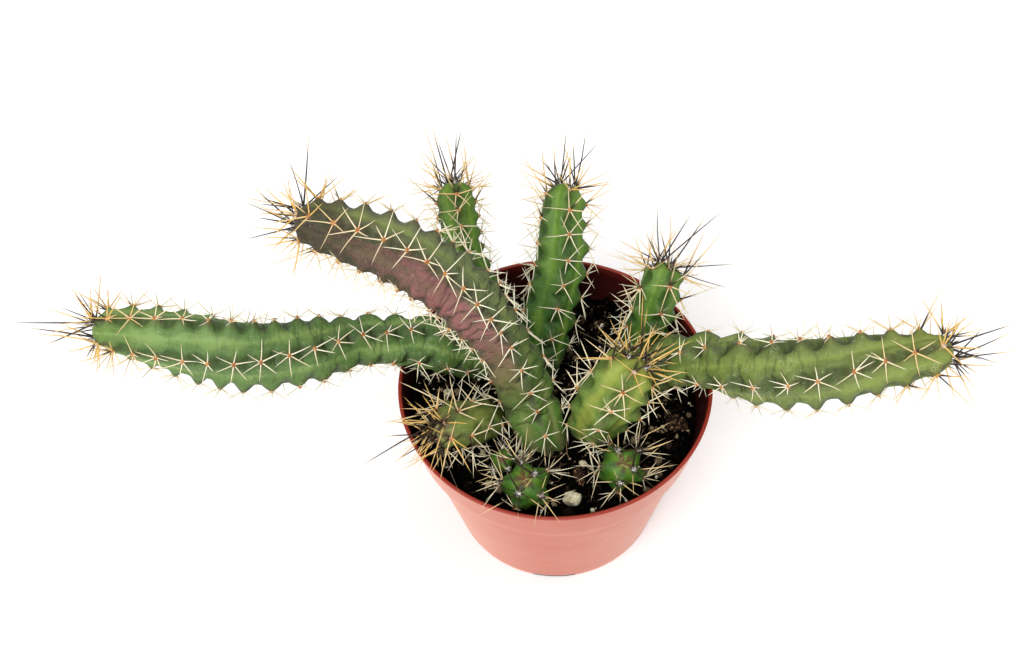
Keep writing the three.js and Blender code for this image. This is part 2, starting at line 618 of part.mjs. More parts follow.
// One stem as one closed surface: crest rows with pads and spines, shoulder rows and valley rows.
function stemGeometry(line, stemNumber) {
  const skin = new Skin();
  const rootCentre = skin.point(line.axis(0));
  const tip = { index: skin.point(line.axis(line.length)), at: line.length };
  const areoles = listAreoles(line);
  const ring = [];
  const sides = [];
  const put = (s, angle, share) => ({ index: skin.point(surfacePoint(line, s, angle, share)), at: s });
  for (let rib = 0; rib < RIBS; rib += 1) {
    const own = areoles.filter((areole) => areole.rib === rib).sort((p, q) => p.s - q.s);
    const places = own.map((areole) => areole.s);
    const angleAt = (s) => line.ribAngle(rib, s);
    const width = (s) => Math.min(0.24, CREST_HALF_WIDTH / Math.max(1, line.radius(s)));
    const start = put(0, angleAt(0), 1);
    const minus = [put(0, angleAt(0) - 0.25, 1)];
    const plus = [put(0, angleAt(0) + 0.25, 1)];
    let crest = [start];
    const first = places.length ? places[0] : line.length;
    const bare = [];
    for (let s = 5; s < first - 4; s += 6) {
      bare.push(s);
    }
    let minusRow = [minus[0]];
    let plusRow = [plus[0]];
    const extend = (s, share) => {
      const mid = put(s, angleAt(s), share);
      const left = put(s, angleAt(s) - width(s), share * 0.985);
      const right = put(s, angleAt(s) + width(s), share * 0.985);
      crest.push(mid);
      minusRow.push(left);
      plusRow.push(right);
      minus.push(left);
      plus.push(right);
    };
    bare.forEach((s) => extend(s, 1 - 0.06 * line.relief(s)));
    own.forEach((areole, order) => {
      const pad = makePad(line, areole);
      const middle = skin.point(pad.middle);
      const corner = pad.corners.map((p) => skin.point(p));
      const reach = PAD_RADIUS;
      const low = { index: corner[3], at: areole.s - reach };
      const high = { index: corner[0], at: areole.s + reach };
      const plusLow = { index: corner[2], at: areole.s - reach / 2 };
      const plusHigh = { index: corner[1], at: areole.s + reach / 2 };
      const minusLow = { index: corner[4], at: areole.s - reach / 2 };
      const minusHigh = { index: corner[5], at: areole.s + reach / 2 };
      crest.push(low);
      plusRow.push(plusLow);
      minusRow.push(minusLow);
      plus.push(plusLow, plusHigh);
      minus.push(minusLow, minusHigh);
      skin.strip(minusRow, crest);
      skin.strip(crest, plusRow);
      for (let facet = 0; facet < PAD_FACETS; facet += 1) {
        const from = corner[facet];
        const to = corner[(facet + 1) % PAD_FACETS];
        const spine = growSpine(line, stemNumber, areole, pad, facet);
        if (spine) {
          const point = skin.point(spine.tip);
          skin.face(middle, to, point);
          skin.face(to, from, point);
          skin.face(from, middle, point);
        } else {
          skin.face(middle, to, from);
        }
      }
      crest = [high];
      plusRow = [plusHigh];
      minusRow = [minusHigh];
      if (order < own.length - 1) {
        const next = own[order + 1].s;
        const s = (areole.s + next) / 2;
        const fill = clamp01((next - areole.s) / FULL_NOTCH_SPACING);
        const notch = NOTCH_DEPTH * line.stem.notch * line.relief(s) * fill;
        extend(s, 1 - notch);
      }
    });
    crest.push(tip);
    plusRow.push(tip);
    minusRow.push(tip);
    plus.push(tip);
    minus.push(tip);
    skin.strip(minusRow, crest);
    skin.strip(crest, plusRow);
    sides.push({ minus, plus });
    ring.push(minus[0].index, start.index, plus[0].index);
    const valleyAngle = (s) => angleAt(s) + RIB_STEP / 2;
    const valley = [put(0, valleyAngle(0), 1)];
    const last = line.domeStart + line.dome * 0.55;
    const count = Math.max(3, Math.round(last / VALLEY_STEP));
    for (let i = 1; i <= count; i += 1) {
      const s = (last * i) / count;
      valley.push(put(s, valleyAngle(s), 1 - line.valleyDepth * line.relief(s)));
    }
    valley.push(tip);
    sides[rib].valley = valley;
    ring.push(valley[0].index);
  }
  sides.forEach(({ plus, valley }, rib) => {
    skin.strip(plus, valley);
    skin.strip(valley, sides[(rib + 1) % RIBS].minus);
  });
  ring.forEach((index, i) => skin.face(rootCentre, ring[(i + 1) % ring.length], index));
  return skin.geometry();
}

// A plain tube a little wider than a stem, from just under its root up out of the soil.
function socketSolid(line) {
  const skin = new Skin();
  const rows = [];
  const top = Math.min(line.length - 1, SOCKET_REACH);
  for (let s = 0; s <= top; s += SOCKET_STEP) {
    rows.push(s);
  }
  const place = (s, angle) => {
    const radius = (line.radius(s) + CLEARANCE) / Math.cos(Math.PI / SOCKET_SIDES) + SOCKET_EASE;
    return line.axis(s).addScaledVector(line.outward(s, angle), radius);
  };
  const rings = rows.map((s) => {
    const list = [];
    for (let i = 0; i < SOCKET_SIDES; i += 1) {
      const point = place(s, (i * 2 * Math.PI) / SOCKET_SIDES);
      if (s === 0) {
        point.z -= CLEARANCE;
      }
      list.push(skin.point(point));
    }
    return list;
  });
  for (let row = 1; row < rings.length; row += 1) {
    for (let i = 0; i < SOCKET_SIDES; i += 1) {
      const j = (i + 1) % SOCKET_SIDES;
      skin.face(rings[row - 1][i], rings[row - 1][j], rings[row][j]);
      skin.face(rings[row - 1][i], rings[row][j], rings[row][i]);
    }
  }
  const bottom = line.axis(0);
  bottom.z -= CLEARANCE;
  const low = skin.point(bottom);
  const high = skin.point(line.axis(rows[rows.length - 1]));
  for (let i = 0; i < SOCKET_SIDES; i += 1) {
    const j = (i + 1) % SOCKET_SIDES;
    skin.face(low, rings[0][j], rings[0][i]);
    skin.face(high, rings[rings.length - 1][i], rings[rings.length - 1][j]);
  }
  return toSolid(skin.geometry());
}

// A chip as a lumpy faceted stone, `grow` millimetres larger on every side.
function chipGeometry(chip, number, grow) {
  const stone = new THREE.IcosahedronGeometry(1, chip.detail);
  stone.deleteAttribute('normal');
  stone.deleteAttribute('uv');
  const geometry = mergeVertices(stone, 1e-4);
  const position = geometry.attributes.position;
  for (let i = 0; i < position.count; i += 1) {
    const lump = 0.82 + 0.3 * draw(number, i, 7);
    position.setXYZ(
      i,
      position.getX(i) * (chip.half[0] * lump + grow),
      position.getY(i) * (chip.half[1] * lump + grow),
      position.getZ(i) * (chip.half[2] * lump + grow),
    );
  }
  geometry.rotateZ(draw(number, 8) * Math.PI);
  const [x, y] = chip.centre;
  geometry.translate(x, y, soilHeight(x, y) + chip.rise);
  return geometry;
}

function soilGeometry() {
  const skin = new Skin();
  const bottomZ = POT_FLOOR + CLEARANCE;
  const edge = potInnerRadius(SOIL_LEVEL) - 2 * CLEARANCE;
  const edgeDip = 1.2;
  const bottomRadius = potInnerRadius(bottomZ) - 1.6;
  const wallRows = [COLLAR_BOTTOM + POT_WALL_LIFT, BODY_TOP + POT_WALL_LIFT];
  const centre = skin.point(new THREE.Vector3(0, 0, soilHeight(0, 0)));
  const rings = [];
  for (let ring = 1; ring <= SOIL_RINGS; ring += 1) {
    const list = [];
    for (let i = 0; i < SOIL_SIDES; i += 1) {
      const turn = (i * 2 * Math.PI) / SOIL_SIDES;
      const atWall = ring === SOIL_RINGS;
      let r = (edge * ring) / SOIL_RINGS;
      let z = soilHeight(r * Math.cos(turn), r * Math.sin(turn));
      if (atWall) {
        z = Math.max(z - edgeDip, wallRows[0] + 0.6);
        r = potInnerRadius(z) - 2 * CLEARANCE;
      }
      list.push(skin.point(new THREE.Vector3(r * Math.cos(turn), r * Math.sin(turn), z)));
    }
    rings.push(list);
  }
  const wall = [...wallRows.map((z) => [potInnerRadius(z) - 2 * CLEARANCE, z]), [bottomRadius, bottomZ]];
  for (const [r, z] of wall) {
    const list = [];
    for (let i = 0; i < SOIL_SIDES; i += 1) {
      const turn = (i * 2 * Math.PI) / SOIL_SIDES;
      list.push(skin.point(new THREE.Vector3(r * Math.cos(turn), r * Math.sin(turn), z)));
    }
    rings.push(list);
  }
  const low = skin.point(new THREE.Vector3(0, 0, bottomZ));
  const bottom = rings[rings.length - 1];
  for (let i = 0; i < SOIL_SIDES; i += 1) {
    const j = (i + 1) % SOIL_SIDES;
    skin.face(centre, rings[0][i], rings[0][j]);
    for (let ring = 1; ring < rings.length; ring += 1) {
      skin.face(rings[ring - 1][i], rings[ring][i], rings[ring][j]);
      skin.face(rings[ring - 1][i], rings[ring][j], rings[ring - 1][j]);
    }
    skin.face(low, bottom[j], bottom[i]);
  }
  let solid = toSolid(skin.geometry());
  lines.forEach((line) => {
    solid = solid.subtract(socketSolid(line));
  });
  CHIPS.forEach((chip, number) => {
    solid = solid.subtract(toSolid(chipGeometry(chip, number, CLEARANCE)));
  });
  return toGeometry(solid);
}

const plant = new THREE.Group();
plant.add(named('pot', potGeometry(), '#c9694a', 0.5));
plant.add(named('soil', soilGeometry(), '#2a211c', 0.95));
CHIPS.forEach((chip, number) => {
  plant.add(named(chip.name, chipGeometry(chip, number, 0), chip.colour, 0.9));
});
lines.forEach((line, number) => {
  plant.add(named(line.stem.name, stemGeometry(line, number), line.stem.colour, 0.55));
});

export default plant;
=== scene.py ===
"""Looks for a potted lady finger cactus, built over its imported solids.

Shapes are worked out in millimetres in the part's own frame, X to the right, Y to the back and
Z up from the pot's foot, and leave as metres. The stems repeat the part's middle lines, ribs,
areoles and spines, with a finer skin.
"""

import math

import bmesh
import bpy
import numpy as np
from mathutils import Matrix, Vector


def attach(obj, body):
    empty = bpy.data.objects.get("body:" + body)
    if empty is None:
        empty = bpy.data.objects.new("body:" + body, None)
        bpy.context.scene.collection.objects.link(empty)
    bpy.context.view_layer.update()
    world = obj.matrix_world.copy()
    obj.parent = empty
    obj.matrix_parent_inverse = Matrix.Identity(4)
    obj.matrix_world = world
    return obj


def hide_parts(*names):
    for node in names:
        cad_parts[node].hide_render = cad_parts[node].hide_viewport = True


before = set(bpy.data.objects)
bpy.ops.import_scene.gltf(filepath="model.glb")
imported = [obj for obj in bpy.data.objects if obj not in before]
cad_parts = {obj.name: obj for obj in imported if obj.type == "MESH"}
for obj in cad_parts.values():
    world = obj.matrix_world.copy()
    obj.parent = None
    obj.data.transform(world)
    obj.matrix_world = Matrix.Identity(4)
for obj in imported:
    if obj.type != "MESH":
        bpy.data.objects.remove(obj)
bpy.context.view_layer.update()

MM = 0.001

# The photograph's camera: where it stands, how far it looks down and how far it leans.
CAMERA_PLACE = (-13.0, -190.4, 350.2)
CAMERA_DOWN = 52.29
CAMERA_LEAN = -3.68
CAMERA_LENS = 35.16

# Pot and soil, as in the part
POT_HEIGHT = 74
POT_RIM_RADIUS = 52.5
POT_COLLAR_HEIGHT = 16.5
POT_COLLAR_TAPER = 2.6
POT_COLLAR_STEP = 2
POT_STEP_RISE = 2
POT_BASE_RADIUS = 38.6
POT_WALL = 1.3
POT_WALL_LIFT = 0.5
POT_FLOOR = 2.4
FOOT_GROOVES = 4
FOOT_GROOVE_WIDTH = 15
FOOT_GROOVE_HEIGHT = 0.9
FOOT_GROOVE_START = 19
FOOT_GROOVE_TURN = -95
DRAIN_HOLE_RADIUS = 4.5
DRAIN_HOLE_CIRCLE = 27
POT_SIDES = 160
COLLAR_BOTTOM = POT_HEIGHT - POT_COLLAR_HEIGHT
COLLAR_RADIUS = POT_RIM_RADIUS - POT_COLLAR_TAPER
BODY_TOP = COLLAR_BOTTOM - POT_STEP_RISE
BODY_TOP_RADIUS = COLLAR_RADIUS - POT_COLLAR_STEP
CLEARANCE = 0.3
SOIL_LEVEL = 63
SOIL_FALL_RIGHT = 1.9
SOIL_FALL_BACK = 2.3
SOIL_LUMP = 0.8

# Stems, as in the part
RIBS = 5
RIB_STEP = 2 * math.pi / RIBS
VALLEY_DEPTH = 0.25
NOTCH_DEPTH = 0.24
FULL_NOTCH_SPACING = 7
CREST_HALF_WIDTH = 0.95
CREST_HALF_ANGLE = 0.24
SHOULDER = 0.985
PAD_RADIUS = 1.1
PAD_RAISE = 0.3
PAD_SPACING = 3.2
PAD_FACETS = 6
PAD_DROP = 0.3
DOME = 0.95
RELIEF_START = 9
RELIEF_LENGTH = 8
YOUNGEST_AREOLE = 2.6
YOUNG_POWER = 1.25
LOWEST_AREOLE = 5
BARE_ABOVE_SOIL = 2.2
SHOOT_POINTS = 4
SHOOT_DOME = 0.75
SHOOT_VALLEY_DEPTH = 0.32
SHOOT_RELIEF = 0.4
SPINE_ROOT = 0.6
SPINE_SPACING = 0.16
SPINE_TRIES = 10
SPINE_MIN_LENGTH = 3.5
RADIAL_LENGTH = 8
OLD_RADIAL_LOSS = 0.25
YOUNG_RADIAL_GAIN = 0.6
CENTRAL_LENGTH = 25
CENTRAL_TURNS = 1.3
CENTRAL_REACH = 2.4
PAIRED_REACH = 1.6
SHOOT_CENTRAL_REACH = 1
SPINE_SPREAD = 0.42
TRY_LOSS = 0.055
MISSING_SHARE = 0.08
OLD_MISSING_SHARE = 0.36
# How far a spine keeps away from its own stem, from other stems and from the soil, how near its
# root it needn't, and how far above the soil's level it still has to keep away from the chips
OWN_ROOM = 0.25
STEM_ROOM = 0.45
SOIL_ROOM = 1.1
ROOT_ZONE = 2.4
CHIP_ZONE = 7
TIP_THICKNESS = 0.1
SAMPLE_STEP = 1.2
TANGENT_STEP = 0.6
TANGENT_END = 0.7
SEED = 20240
# The way to the photograph's camera, from which the ribs' angles are measured
FACING = np.array([0, -0.612, 0.791])

# How finely the skin is made, how deep it goes into the soil, how far a groove or a pad reaches
# along it, and how the spines are drawn
ROW_STEP = 0.4
RIB_COLUMNS = 22
BURIED = 8
LATEST_START = 6
MAP_REACH = 5
SPINE_SIDES = 6
SPINE_THICKNESS = 0.22
STATIONS = [0, 0.06, 0.2, 0.5, 0.8]
GIRTHS = [1.4, 1.15, 0.95, 0.78, 0.45]
LUMP_WAVES = 7
NEW_SPINES = 5
NEW_SPINE_TURNS = 0.7

# What spines of the part and thinner ones between them leave free: their thickness at the foot
# beside a stem and beside another spine, the least angle between two on a pad, and the gap.
PART_ROOM = (SPINE_ROOT, SPINE_ROOT, SPINE_SPREAD, SPINE_SPACING)
EXTRA_ROOM = (0.25, 0.22, 0.3, 0.02)

# Each stem: the look of its skin, how long its spines are, how many turns of the areoles' spiral
# lie above the first in the row, and the angle of the rib in front. Then its middle line from root
# to tip, its radii by share of its length, and the row: how far the areoles on the rib in front lie
# from the tip. A stem may also name how its ribs turn for each millimetre, which way its spiral
# runs and how deep its notches are.
STEM_DEFAULTS = dict(turn=0, hand=1, notch=1)
STEMS = [
    dict(
        name="stem_left_long", skin="leafy", spines=0.95, start=1.8, angle=-156, turn=-0.75,
        path=[(-21, 16, 51), (-25.5, 15.5, 61), (-31, 14, 70.5), (-38.3, 12, 78.6),
              (-45.5, 12, 82.4), (-52.5, 11, 84.6), (-62, 9, 88.5), (-74.5, 3.8, 93),
              (-91.5, -0.3, 97.4), (-103, -0.5, 100.6), (-119, 2.5, 103.7), (-135.5, 5.5, 106.5),
              (-143.5, 6, 107.6)],
        radii=[(0, 6.5), (0.12, 8), (0.25, 9.6), (0.36, 9.2), (0.44, 9.3), (0.54, 11.4),
               (0.67, 12.2), (0.77, 11.6), (0.87, 10.2), (0.94, 8.6), (1, 6.4)],
        row=[12.3, 19.5, 27, 35.8, 42.5, 48.8, 55.5, 63.5, 70.8, 77.8, 86.3, 94.5, 104, 113, 122],
    ),
    dict(
        name="stem_arching", skin="purple", spines=1.08, start=2.6, angle=-64,
        path=[(-4.3, -17, 50), (-5.2, -16.5, 61), (-9.3, -7.5, 73.5), (-13.5, -4.2, 90),
              (-17, -4.5, 103), (-20.5, -7.5, 116), (-24, -7.4, 123.5), (-29, -4.5, 129.5),
              (-34, -2.5, 133.3), (-39, 0, 136.2), (-44.5, 2.7, 138), (-51, 5.7, 139.4),
              (-58, 8.8, 140.2), (-64.5, 11.8, 140.5), (-73.5, 16.5, 140)],
        radii=[(0, 7.4), (0.08, 8.8), (0.18, 10), (0.3, 9.9), (0.42, 8.8), (0.52, 9.1),
               (0.6, 10.6), (0.72, 10.8), (0.82, 10.3), (0.92, 8.8), (1, 6.3)],
        row=[18.8, 26.1, 33.3, 39.8, 44.6, 49.3, 54.8, 60.2, 64.2, 69, 77, 93.2, 105.3, 116.1,
             127.8],
    ),
    dict(
        name="stem_back_left", skin="fresh", spines=1.15, start=1.2, angle=-136,
        path=[(-15, 30, 50), (-17, 32.5, 61), (-22, 37, 75), (-26, 41.5, 84), (-28.5, 46.5, 90.5),
              (-29.3, 52, 97.5), (-29.8, 57, 103), (-30.3, 62, 107)],
        radii=[(0, 5.5), (0.3, 6.6), (0.6, 7.3), (0.8, 7.6), (0.92, 7.2), (1, 6)],
        row=[8.3, 12.8, 18.1, 24, 30.5, 37.5, 45, 53],
    ),
    dict(
        name="stem_back", skin="fresh", spines=1.15, start=1.6, angle=-57,
        path=[(-3.5, 15.5, 50), (-3.2, 18, 61), (-1, 24.5, 73), (1.5, 29.5, 81), (4, 34.5, 88),
              (5.4, 40, 94.5), (6.2, 46, 101), (7.4, 51, 105.5), (8.6, 55.5, 109)],
        radii=[(0, 7), (0.15, 8.2), (0.35, 10.3), (0.5, 10.2), (0.7, 9.8), (0.85, 8.6),
               (0.93, 7.8), (1, 6.2)],
        row=[12.6, 20.1, 28.4, 36.1, 43.9, 54.9, 63],
    ),
    dict(
        name="stem_back_right", skin="fresh", spines=1.15, start=1.2, angle=-132, turn=0.1,
        path=[(31, 19.5, 50), (32, 20.5, 61), (34.3, 22, 72), (36.6, 24.5, 80),
              (38.8, 27.5, 86.5), (41, 31.5, 92)],
        radii=[(0, 6), (0.3, 7.8), (0.6, 8.6), (0.8, 8.2), (0.92, 7.6), (1, 6.3)],
        row=[9.3, 17.8, 24.3, 32],
    ),
    dict(
        name="stem_right_long", skin="greyed", spines=0.85,
        start=0.8, angle=-52, turn=-0.95, hand=-1, notch=1.3,
        path=[(24.5, 4, 50), (27, 3.8, 61), (33, 2, 72), (40, -0.8, 79.3), (47, -4, 83.4),
              (51.5, -6.7, 85.2), (57, -11.3, 89.8), (65, -17, 94.8), (73, -20.9, 98.9),
              (82, -23.6, 103.1), (91.5, -25, 106.9), (100.5, -26, 110), (108, -26.4, 112.2),
              (113, -26.5, 113.6)],
        radii=[(0, 6.5), (0.15, 8.3), (0.3, 9.6), (0.38, 10.2), (0.46, 11.2), (0.56, 11.9),
               (0.66, 12), (0.76, 11), (0.86, 9.2), (0.94, 7.6), (1, 6)],
        row=[6.4, 14.3, 22, 30.3, 39.3, 46.8, 56.3, 66.3, 78, 88, 98, 108],
    ),
    dict(
        name="stem_centre_right", skin="yellowed", spines=1.1, start=0.8, angle=139, turn=0.3,
        path=[(12, -13.5, 50), (11.8, -14, 61), (13.2, -15, 72), (16.6, -14.5, 82),
              (20.6, -13.5, 91), (25.2, -12, 98.5)],
        radii=[(0, 6.8), (0.2, 7.6), (0.42, 10.2), (0.62, 12.1), (0.82, 11), (0.92, 9.8),
               (1, 8.2)],
        row=[5.2, 11.2, 18.1, 27, 35],
    ),
    dict(
        name="stem_front_left", skin="browned", spines=1.1, start=0.8, angle=-164, turn=-2.4,
        path=[(-22.5, -9, 52), (-22.8, -9.5, 61), (-24.3, -11.5, 67.5), (-28.5, -15.5, 74.5),
              (-33.5, -20, 80), (-38.7, -24, 84)],
        radii=[(0, 5.6), (0.25, 6.8), (0.5, 8.2), (0.75, 8.3), (0.9, 7.6), (1, 6.4)],
        row=[5, 11.1, 19, 26.5, 34],
    ),
    dict(
        name="shoot_front", skin="shoot", spines=1.05, start=0.4, angle=110, hand=-1,
        path=[(-11, -35.5, 55), (-11.2, -36.5, 63), (-11.8, -38.5, 71), (-12.2, -40, 78)],
        radii=[(0, 4.6), (0.35, 6.9), (0.6, 8.5), (1, 8.2)],
        row=[4.8, 9.8, 15.2],
    ),
    dict(
        name="shoot_front_right", skin="shoot", spines=1.05, start=0.4, angle=74,
        path=[(17.8, -30.6, 55), (18, -31.6, 63), (18.6, -33.6, 70), (19.3, -35.6, 76)],
        radii=[(0, 4.4), (0.35, 6.5), (0.6, 8.1), (1, 7.8)],
        row=[4.9, 9.8, 15.2],
    ),
    dict(
        name="shoot_small", skin="shoot", spines=0.7, start=0, angle=20,
        path=[(-18.6, -26, 57), (-18.6, -26.4, 63), (-18.7, -27.6, 68), (-18.9, -28.8, 72)],
        radii=[(0, 3), (0.4, 3.7), (0.7, 4.3), (1, 4.1)],
        row=[3, 6.2, 10],
    ),
]

# Larger chips in the soil: the middle, the half sizes, how far it stands out, and what it is.
CHIPS = [
    dict(name="perlite_front", centre=(2.2, -41.3), half=(3.5, 3, 2.6), rise=1.2, kind="perlite"),
    dict(name="perlite_left", centre=(-36.5, 2.5), half=(2, 1.7, 1.6), rise=0.9, kind="perlite"),
    dict(name="bark_right", centre=(40.2, -14), half=(3.6, 3.9, 1.5), rise=0.9, kind="bark"),
    dict(name="bark_front", centre=(5.5, -33), half=(3.6, 1.9, 1.3), rise=0.7, kind="bark"),
]


# Numbers
def draw(*keys):
    """A repeatable number from 0 to 1 for whole-number keys, the same as in the part."""
    mask = 0xFFFFFFFF
    state = SEED
    for key in keys:
        state = ((state ^ ((key + 0x9E3779B9) & mask)) * 0x85EBCA6B) & mask
        state ^= state >> 13
        state = (state * 0xC2B2AE35) & mask
        state ^= state >> 16
    return state / (mask + 1)


def smooth(value):
    """0 to 1, eased at both ends."""
    t = np.clip(value, 0, 1)
    return t * t * (3 - 2 * t)


def blend_list(pairs, share):
    """The value of a list of (share, value) pairs, eased from one pair to the next."""
    share = np.asarray(share, float)
    value = np.full(share.shape, float(pairs[-1][1]))
    for (start, low), (end, high) in reversed(list(zip(pairs, pairs[1:]))):
        eased = low + (high - low) * smooth((share - start) / (end - start))
        value = np.where(share <= end, eased, value)
    return value


def circle(sides):
    """Evenly spaced angles of one turn."""
    return 2 * math.pi * np.arange(sides) / sides


def unit(vectors):
    return vectors / np.maximum(np.linalg.norm(vectors, axis=-1, keepdims=True), 1e-12)


def lumps(points, size, key):
    """Smooth lumps from -1 to 1 or so, about `size` millimetres across, at each point."""
    rng = np.random.default_rng(key)
    total = np.zeros(points.shape[:-1])
    for _ in range(LUMP_WAVES):
        heading = unit(rng.normal(size=3)) * 2 * math.pi / (size * rng.uniform(0.7, 1.6))
        total += np.sin(points @ heading + rng.uniform(0, 2 * math.pi))
    return total / math.sqrt(LUMP_WAVES)


# Meshes
class Batch:
    """Gathers shapes into one mesh, with the numbers that its material reads at each point."""

    def __init__(self):
        self.points, self.faces, self.values, self.count = [], [], {}, 0

    def add(self, points, faces, **values):
        self.points.append(points)
        self.faces.append(np.asarray(faces) + self.count)
        self.count += len(points)
        for key, value in values.items():
            value = np.asarray(value, float)
            shape = (len(points), 3) if value.shape[-1:] == (3,) else (len(points),)
            self.values.setdefault(key, []).append(np.broadcast_to(value, shape))

    def add_copies(self, shapes, faces, fixed=None, **values):
        """Adds shapes with the same faces.

        A value is one for all or one for each shape, and a fixed one is the same on every shape.
        """
        count, size = shapes.shape[:2]
        steps = np.arange(count)[:, None, None] * size
        spread = {key: np.repeat(np.broadcast_to(value, count), size)
                  for key, value in values.items()}
        spread.update((key, np.tile(value, count)) for key, value in (fixed or {}).items())
        self.add(shapes.reshape(-1, 3), (faces[None] + steps).reshape(-1, 3), **spread)

    def piece(self, name, material, node=None, slot=None):
        """The mesh as a visible piece, which may take a node's place; its slot is not used."""
        points = np.concatenate(self.points) * MM
        faces = np.concatenate(self.faces)
        mesh = bpy.data.meshes.new(name)
        mesh.vertices.add(len(points))
        mesh.vertices.foreach_set("co", points.astype(np.float32).ravel())
        mesh.loops.add(faces.size)
        mesh.loops.foreach_set("vertex_index", faces.astype(np.int32).ravel())
        mesh.polygons.add(len(faces))
        mesh.polygons.foreach_set("loop_start", np.arange(0, faces.size, 3, dtype=np.int32))
        mesh.update(calc_edges=True)
        mesh.polygons.foreach_set("use_smooth", np.ones(len(faces), bool))
        for key, parts in self.values.items():
            value = np.concatenate(parts).astype(np.float32)
            kind = "FLOAT_VECTOR" if value.ndim == 2 else "FLOAT"
            field = mesh.attributes.new(key, kind, "POINT")
            field.data.foreach_set("vector" if value.ndim == 2 else "value", value.ravel())
        mesh.materials.append(material)
        piece = bpy.data.objects.new(name, mesh)
        bpy.context.scene.collection.objects.link(piece)
        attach(piece, "root")
        if node:
            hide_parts(node)
        return piece


def tube_faces(rows, columns):
    """Triangles of rings of points, closed over the last ring by the one point after them."""
    row, column = np.meshgrid(np.arange(rows - 1), np.arange(columns), indexing="ij")
    beside = (column + 1) % columns
    a, b = row * columns + column, row * columns + beside
    c, d = a + columns, b + columns
    low = np.stack([a, b, d], -1).reshape(-1, 3)
    high = np.stack([a, d, c], -1).reshape(-1, 3)
    ring, last = np.arange(columns), (rows - 1) * columns
    cap = [last + ring, last + (ring + 1) % columns, np.full(columns, rows * columns)]
    return np.concatenate([low, high, np.stack(cap, 1)])


def closed_faces(rows, columns):
    """The same, closed below the first ring as well, by a second point."""
    ring = np.arange(columns)
    foot = np.stack([(ring + 1) % columns, ring, np.full(columns, rows * columns + 1)], 1)
    return np.concatenate([tube_faces(rows, columns), foot])


def ball(level):
    shape = bmesh.new()
    bmesh.ops.create_icosphere(shape, subdivisions=level, radius=1)
    points = np.array([v.co[:] for v in shape.verts])
    faces = np.array([[v.index for v in f.verts] for f in shape.faces])
    shape.free()
    return points, faces


def turned(count, rng):
    """Random rotations, as an array of matrices."""
    w, x, y, z = unit(rng.normal(size=(count, 4))).T
    rows = [
        [1 - 2 * (y * y + z * z), 2 * (x * y - z * w), 2 * (x * z + y * w)],
        [2 * (x * y + z * w), 1 - 2 * (x * x + z * z), 2 * (y * z - x * w)],
        [2 * (x * z - y * w), 2 * (y * z + x * w), 1 - 2 * (x * x + y * y)],
    ]
    return np.array(rows).transpose(2, 0, 1)


def stones(batch, centres, halves, level, rough, rng, **values):
    """Lumpy stones of the given half sizes, each turned its own way."""
    points, faces = ball(level)
    lump = 1 + rough * rng.uniform(-1, 1, (len(centres), len(points)))
    shape = points[None] * lump[..., None] * halves[:, None, :]
    shape = np.einsum("nij,nkj->nki", turned(len(centres), rng), shape) + centres[:, None, :]
    batch.add_copies(shape, faces, **values)


def needles(batch, root, tip, bow, thickness, sides=SPINE_SIDES, stations=STATIONS, girths=GIRTHS,
            **values):
    """Tapered needles with a swollen foot. `reach` is each point's share of the way to the tip."""
    root, tip, bow = (np.asarray(p, float).reshape(-1, 3) for p in (root, tip, bow))
    count, rings = len(root), len(stations)
    share, girth = np.array(stations, float), np.array(girths, float)
    heading = unit(tip - root)
    spare = np.where(np.abs(heading[:, 2:]) > 0.8, [[1.0, 0, 0]], [[0, 0, 1.0]])
    across = unit(np.cross(heading, spare))
    over = np.cross(heading, across)
    angle = circle(sides)
    ring = across[:, None] * np.cos(angle)[:, None] + over[:, None] * np.sin(angle)[:, None]
    line = root[:, None] + (tip - root)[:, None] * share[:, None]
    line = line + bow[:, None] * (4 * share * (1 - share))[:, None]
    wide = np.broadcast_to(thickness, count)[:, None, None, None] * girth[:, None, None]
    shape = (line[:, :, None] + ring[:, None] * wide).reshape(count, -1, 3)
    shape = np.concatenate([shape, tip[:, None]], 1)
    foot = [[0, i + 1, i] for i in range(1, sides - 1)]
    faces = np.concatenate([tube_faces(rings, sides), np.array(foot)])
    reach = np.append(np.repeat(share, sides), 1)
    batch.add_copies(shape, faces, {"reach": reach}, **values)


# Pot and soil surfaces
def pot_outer_radius(z):
    heights = [0, BODY_TOP, COLLAR_BOTTOM, POT_HEIGHT]
    return np.interp(z, heights, [POT_BASE_RADIUS, BODY_TOP_RADIUS, COLLAR_RADIUS, POT_RIM_RADIUS])


def pot_inner_radius(z):
    """The pot's inside follows its outside, a little higher."""
    return pot_outer_radius(np.asarray(z, float) - POT_WALL_LIFT) - POT_WALL


def soil_height(x, y):
    """The soil's height, which falls to the right and the back, as in the part."""
    waves = np.sin(x * 0.41 + 1.3) * np.cos(y * 0.37 - 0.4)
    waves = waves + 0.6 * np.sin(x * 0.83 - y * 0.71) + 0.4 * np.cos(x * 1.31 + y * 0.97)
    fall = (SOIL_FALL_RIGHT * x + SOIL_FALL_BACK * y) / POT_BASE_RADIUS
    return SOIL_LEVEL - fall + SOIL_LUMP * waves * 0.5


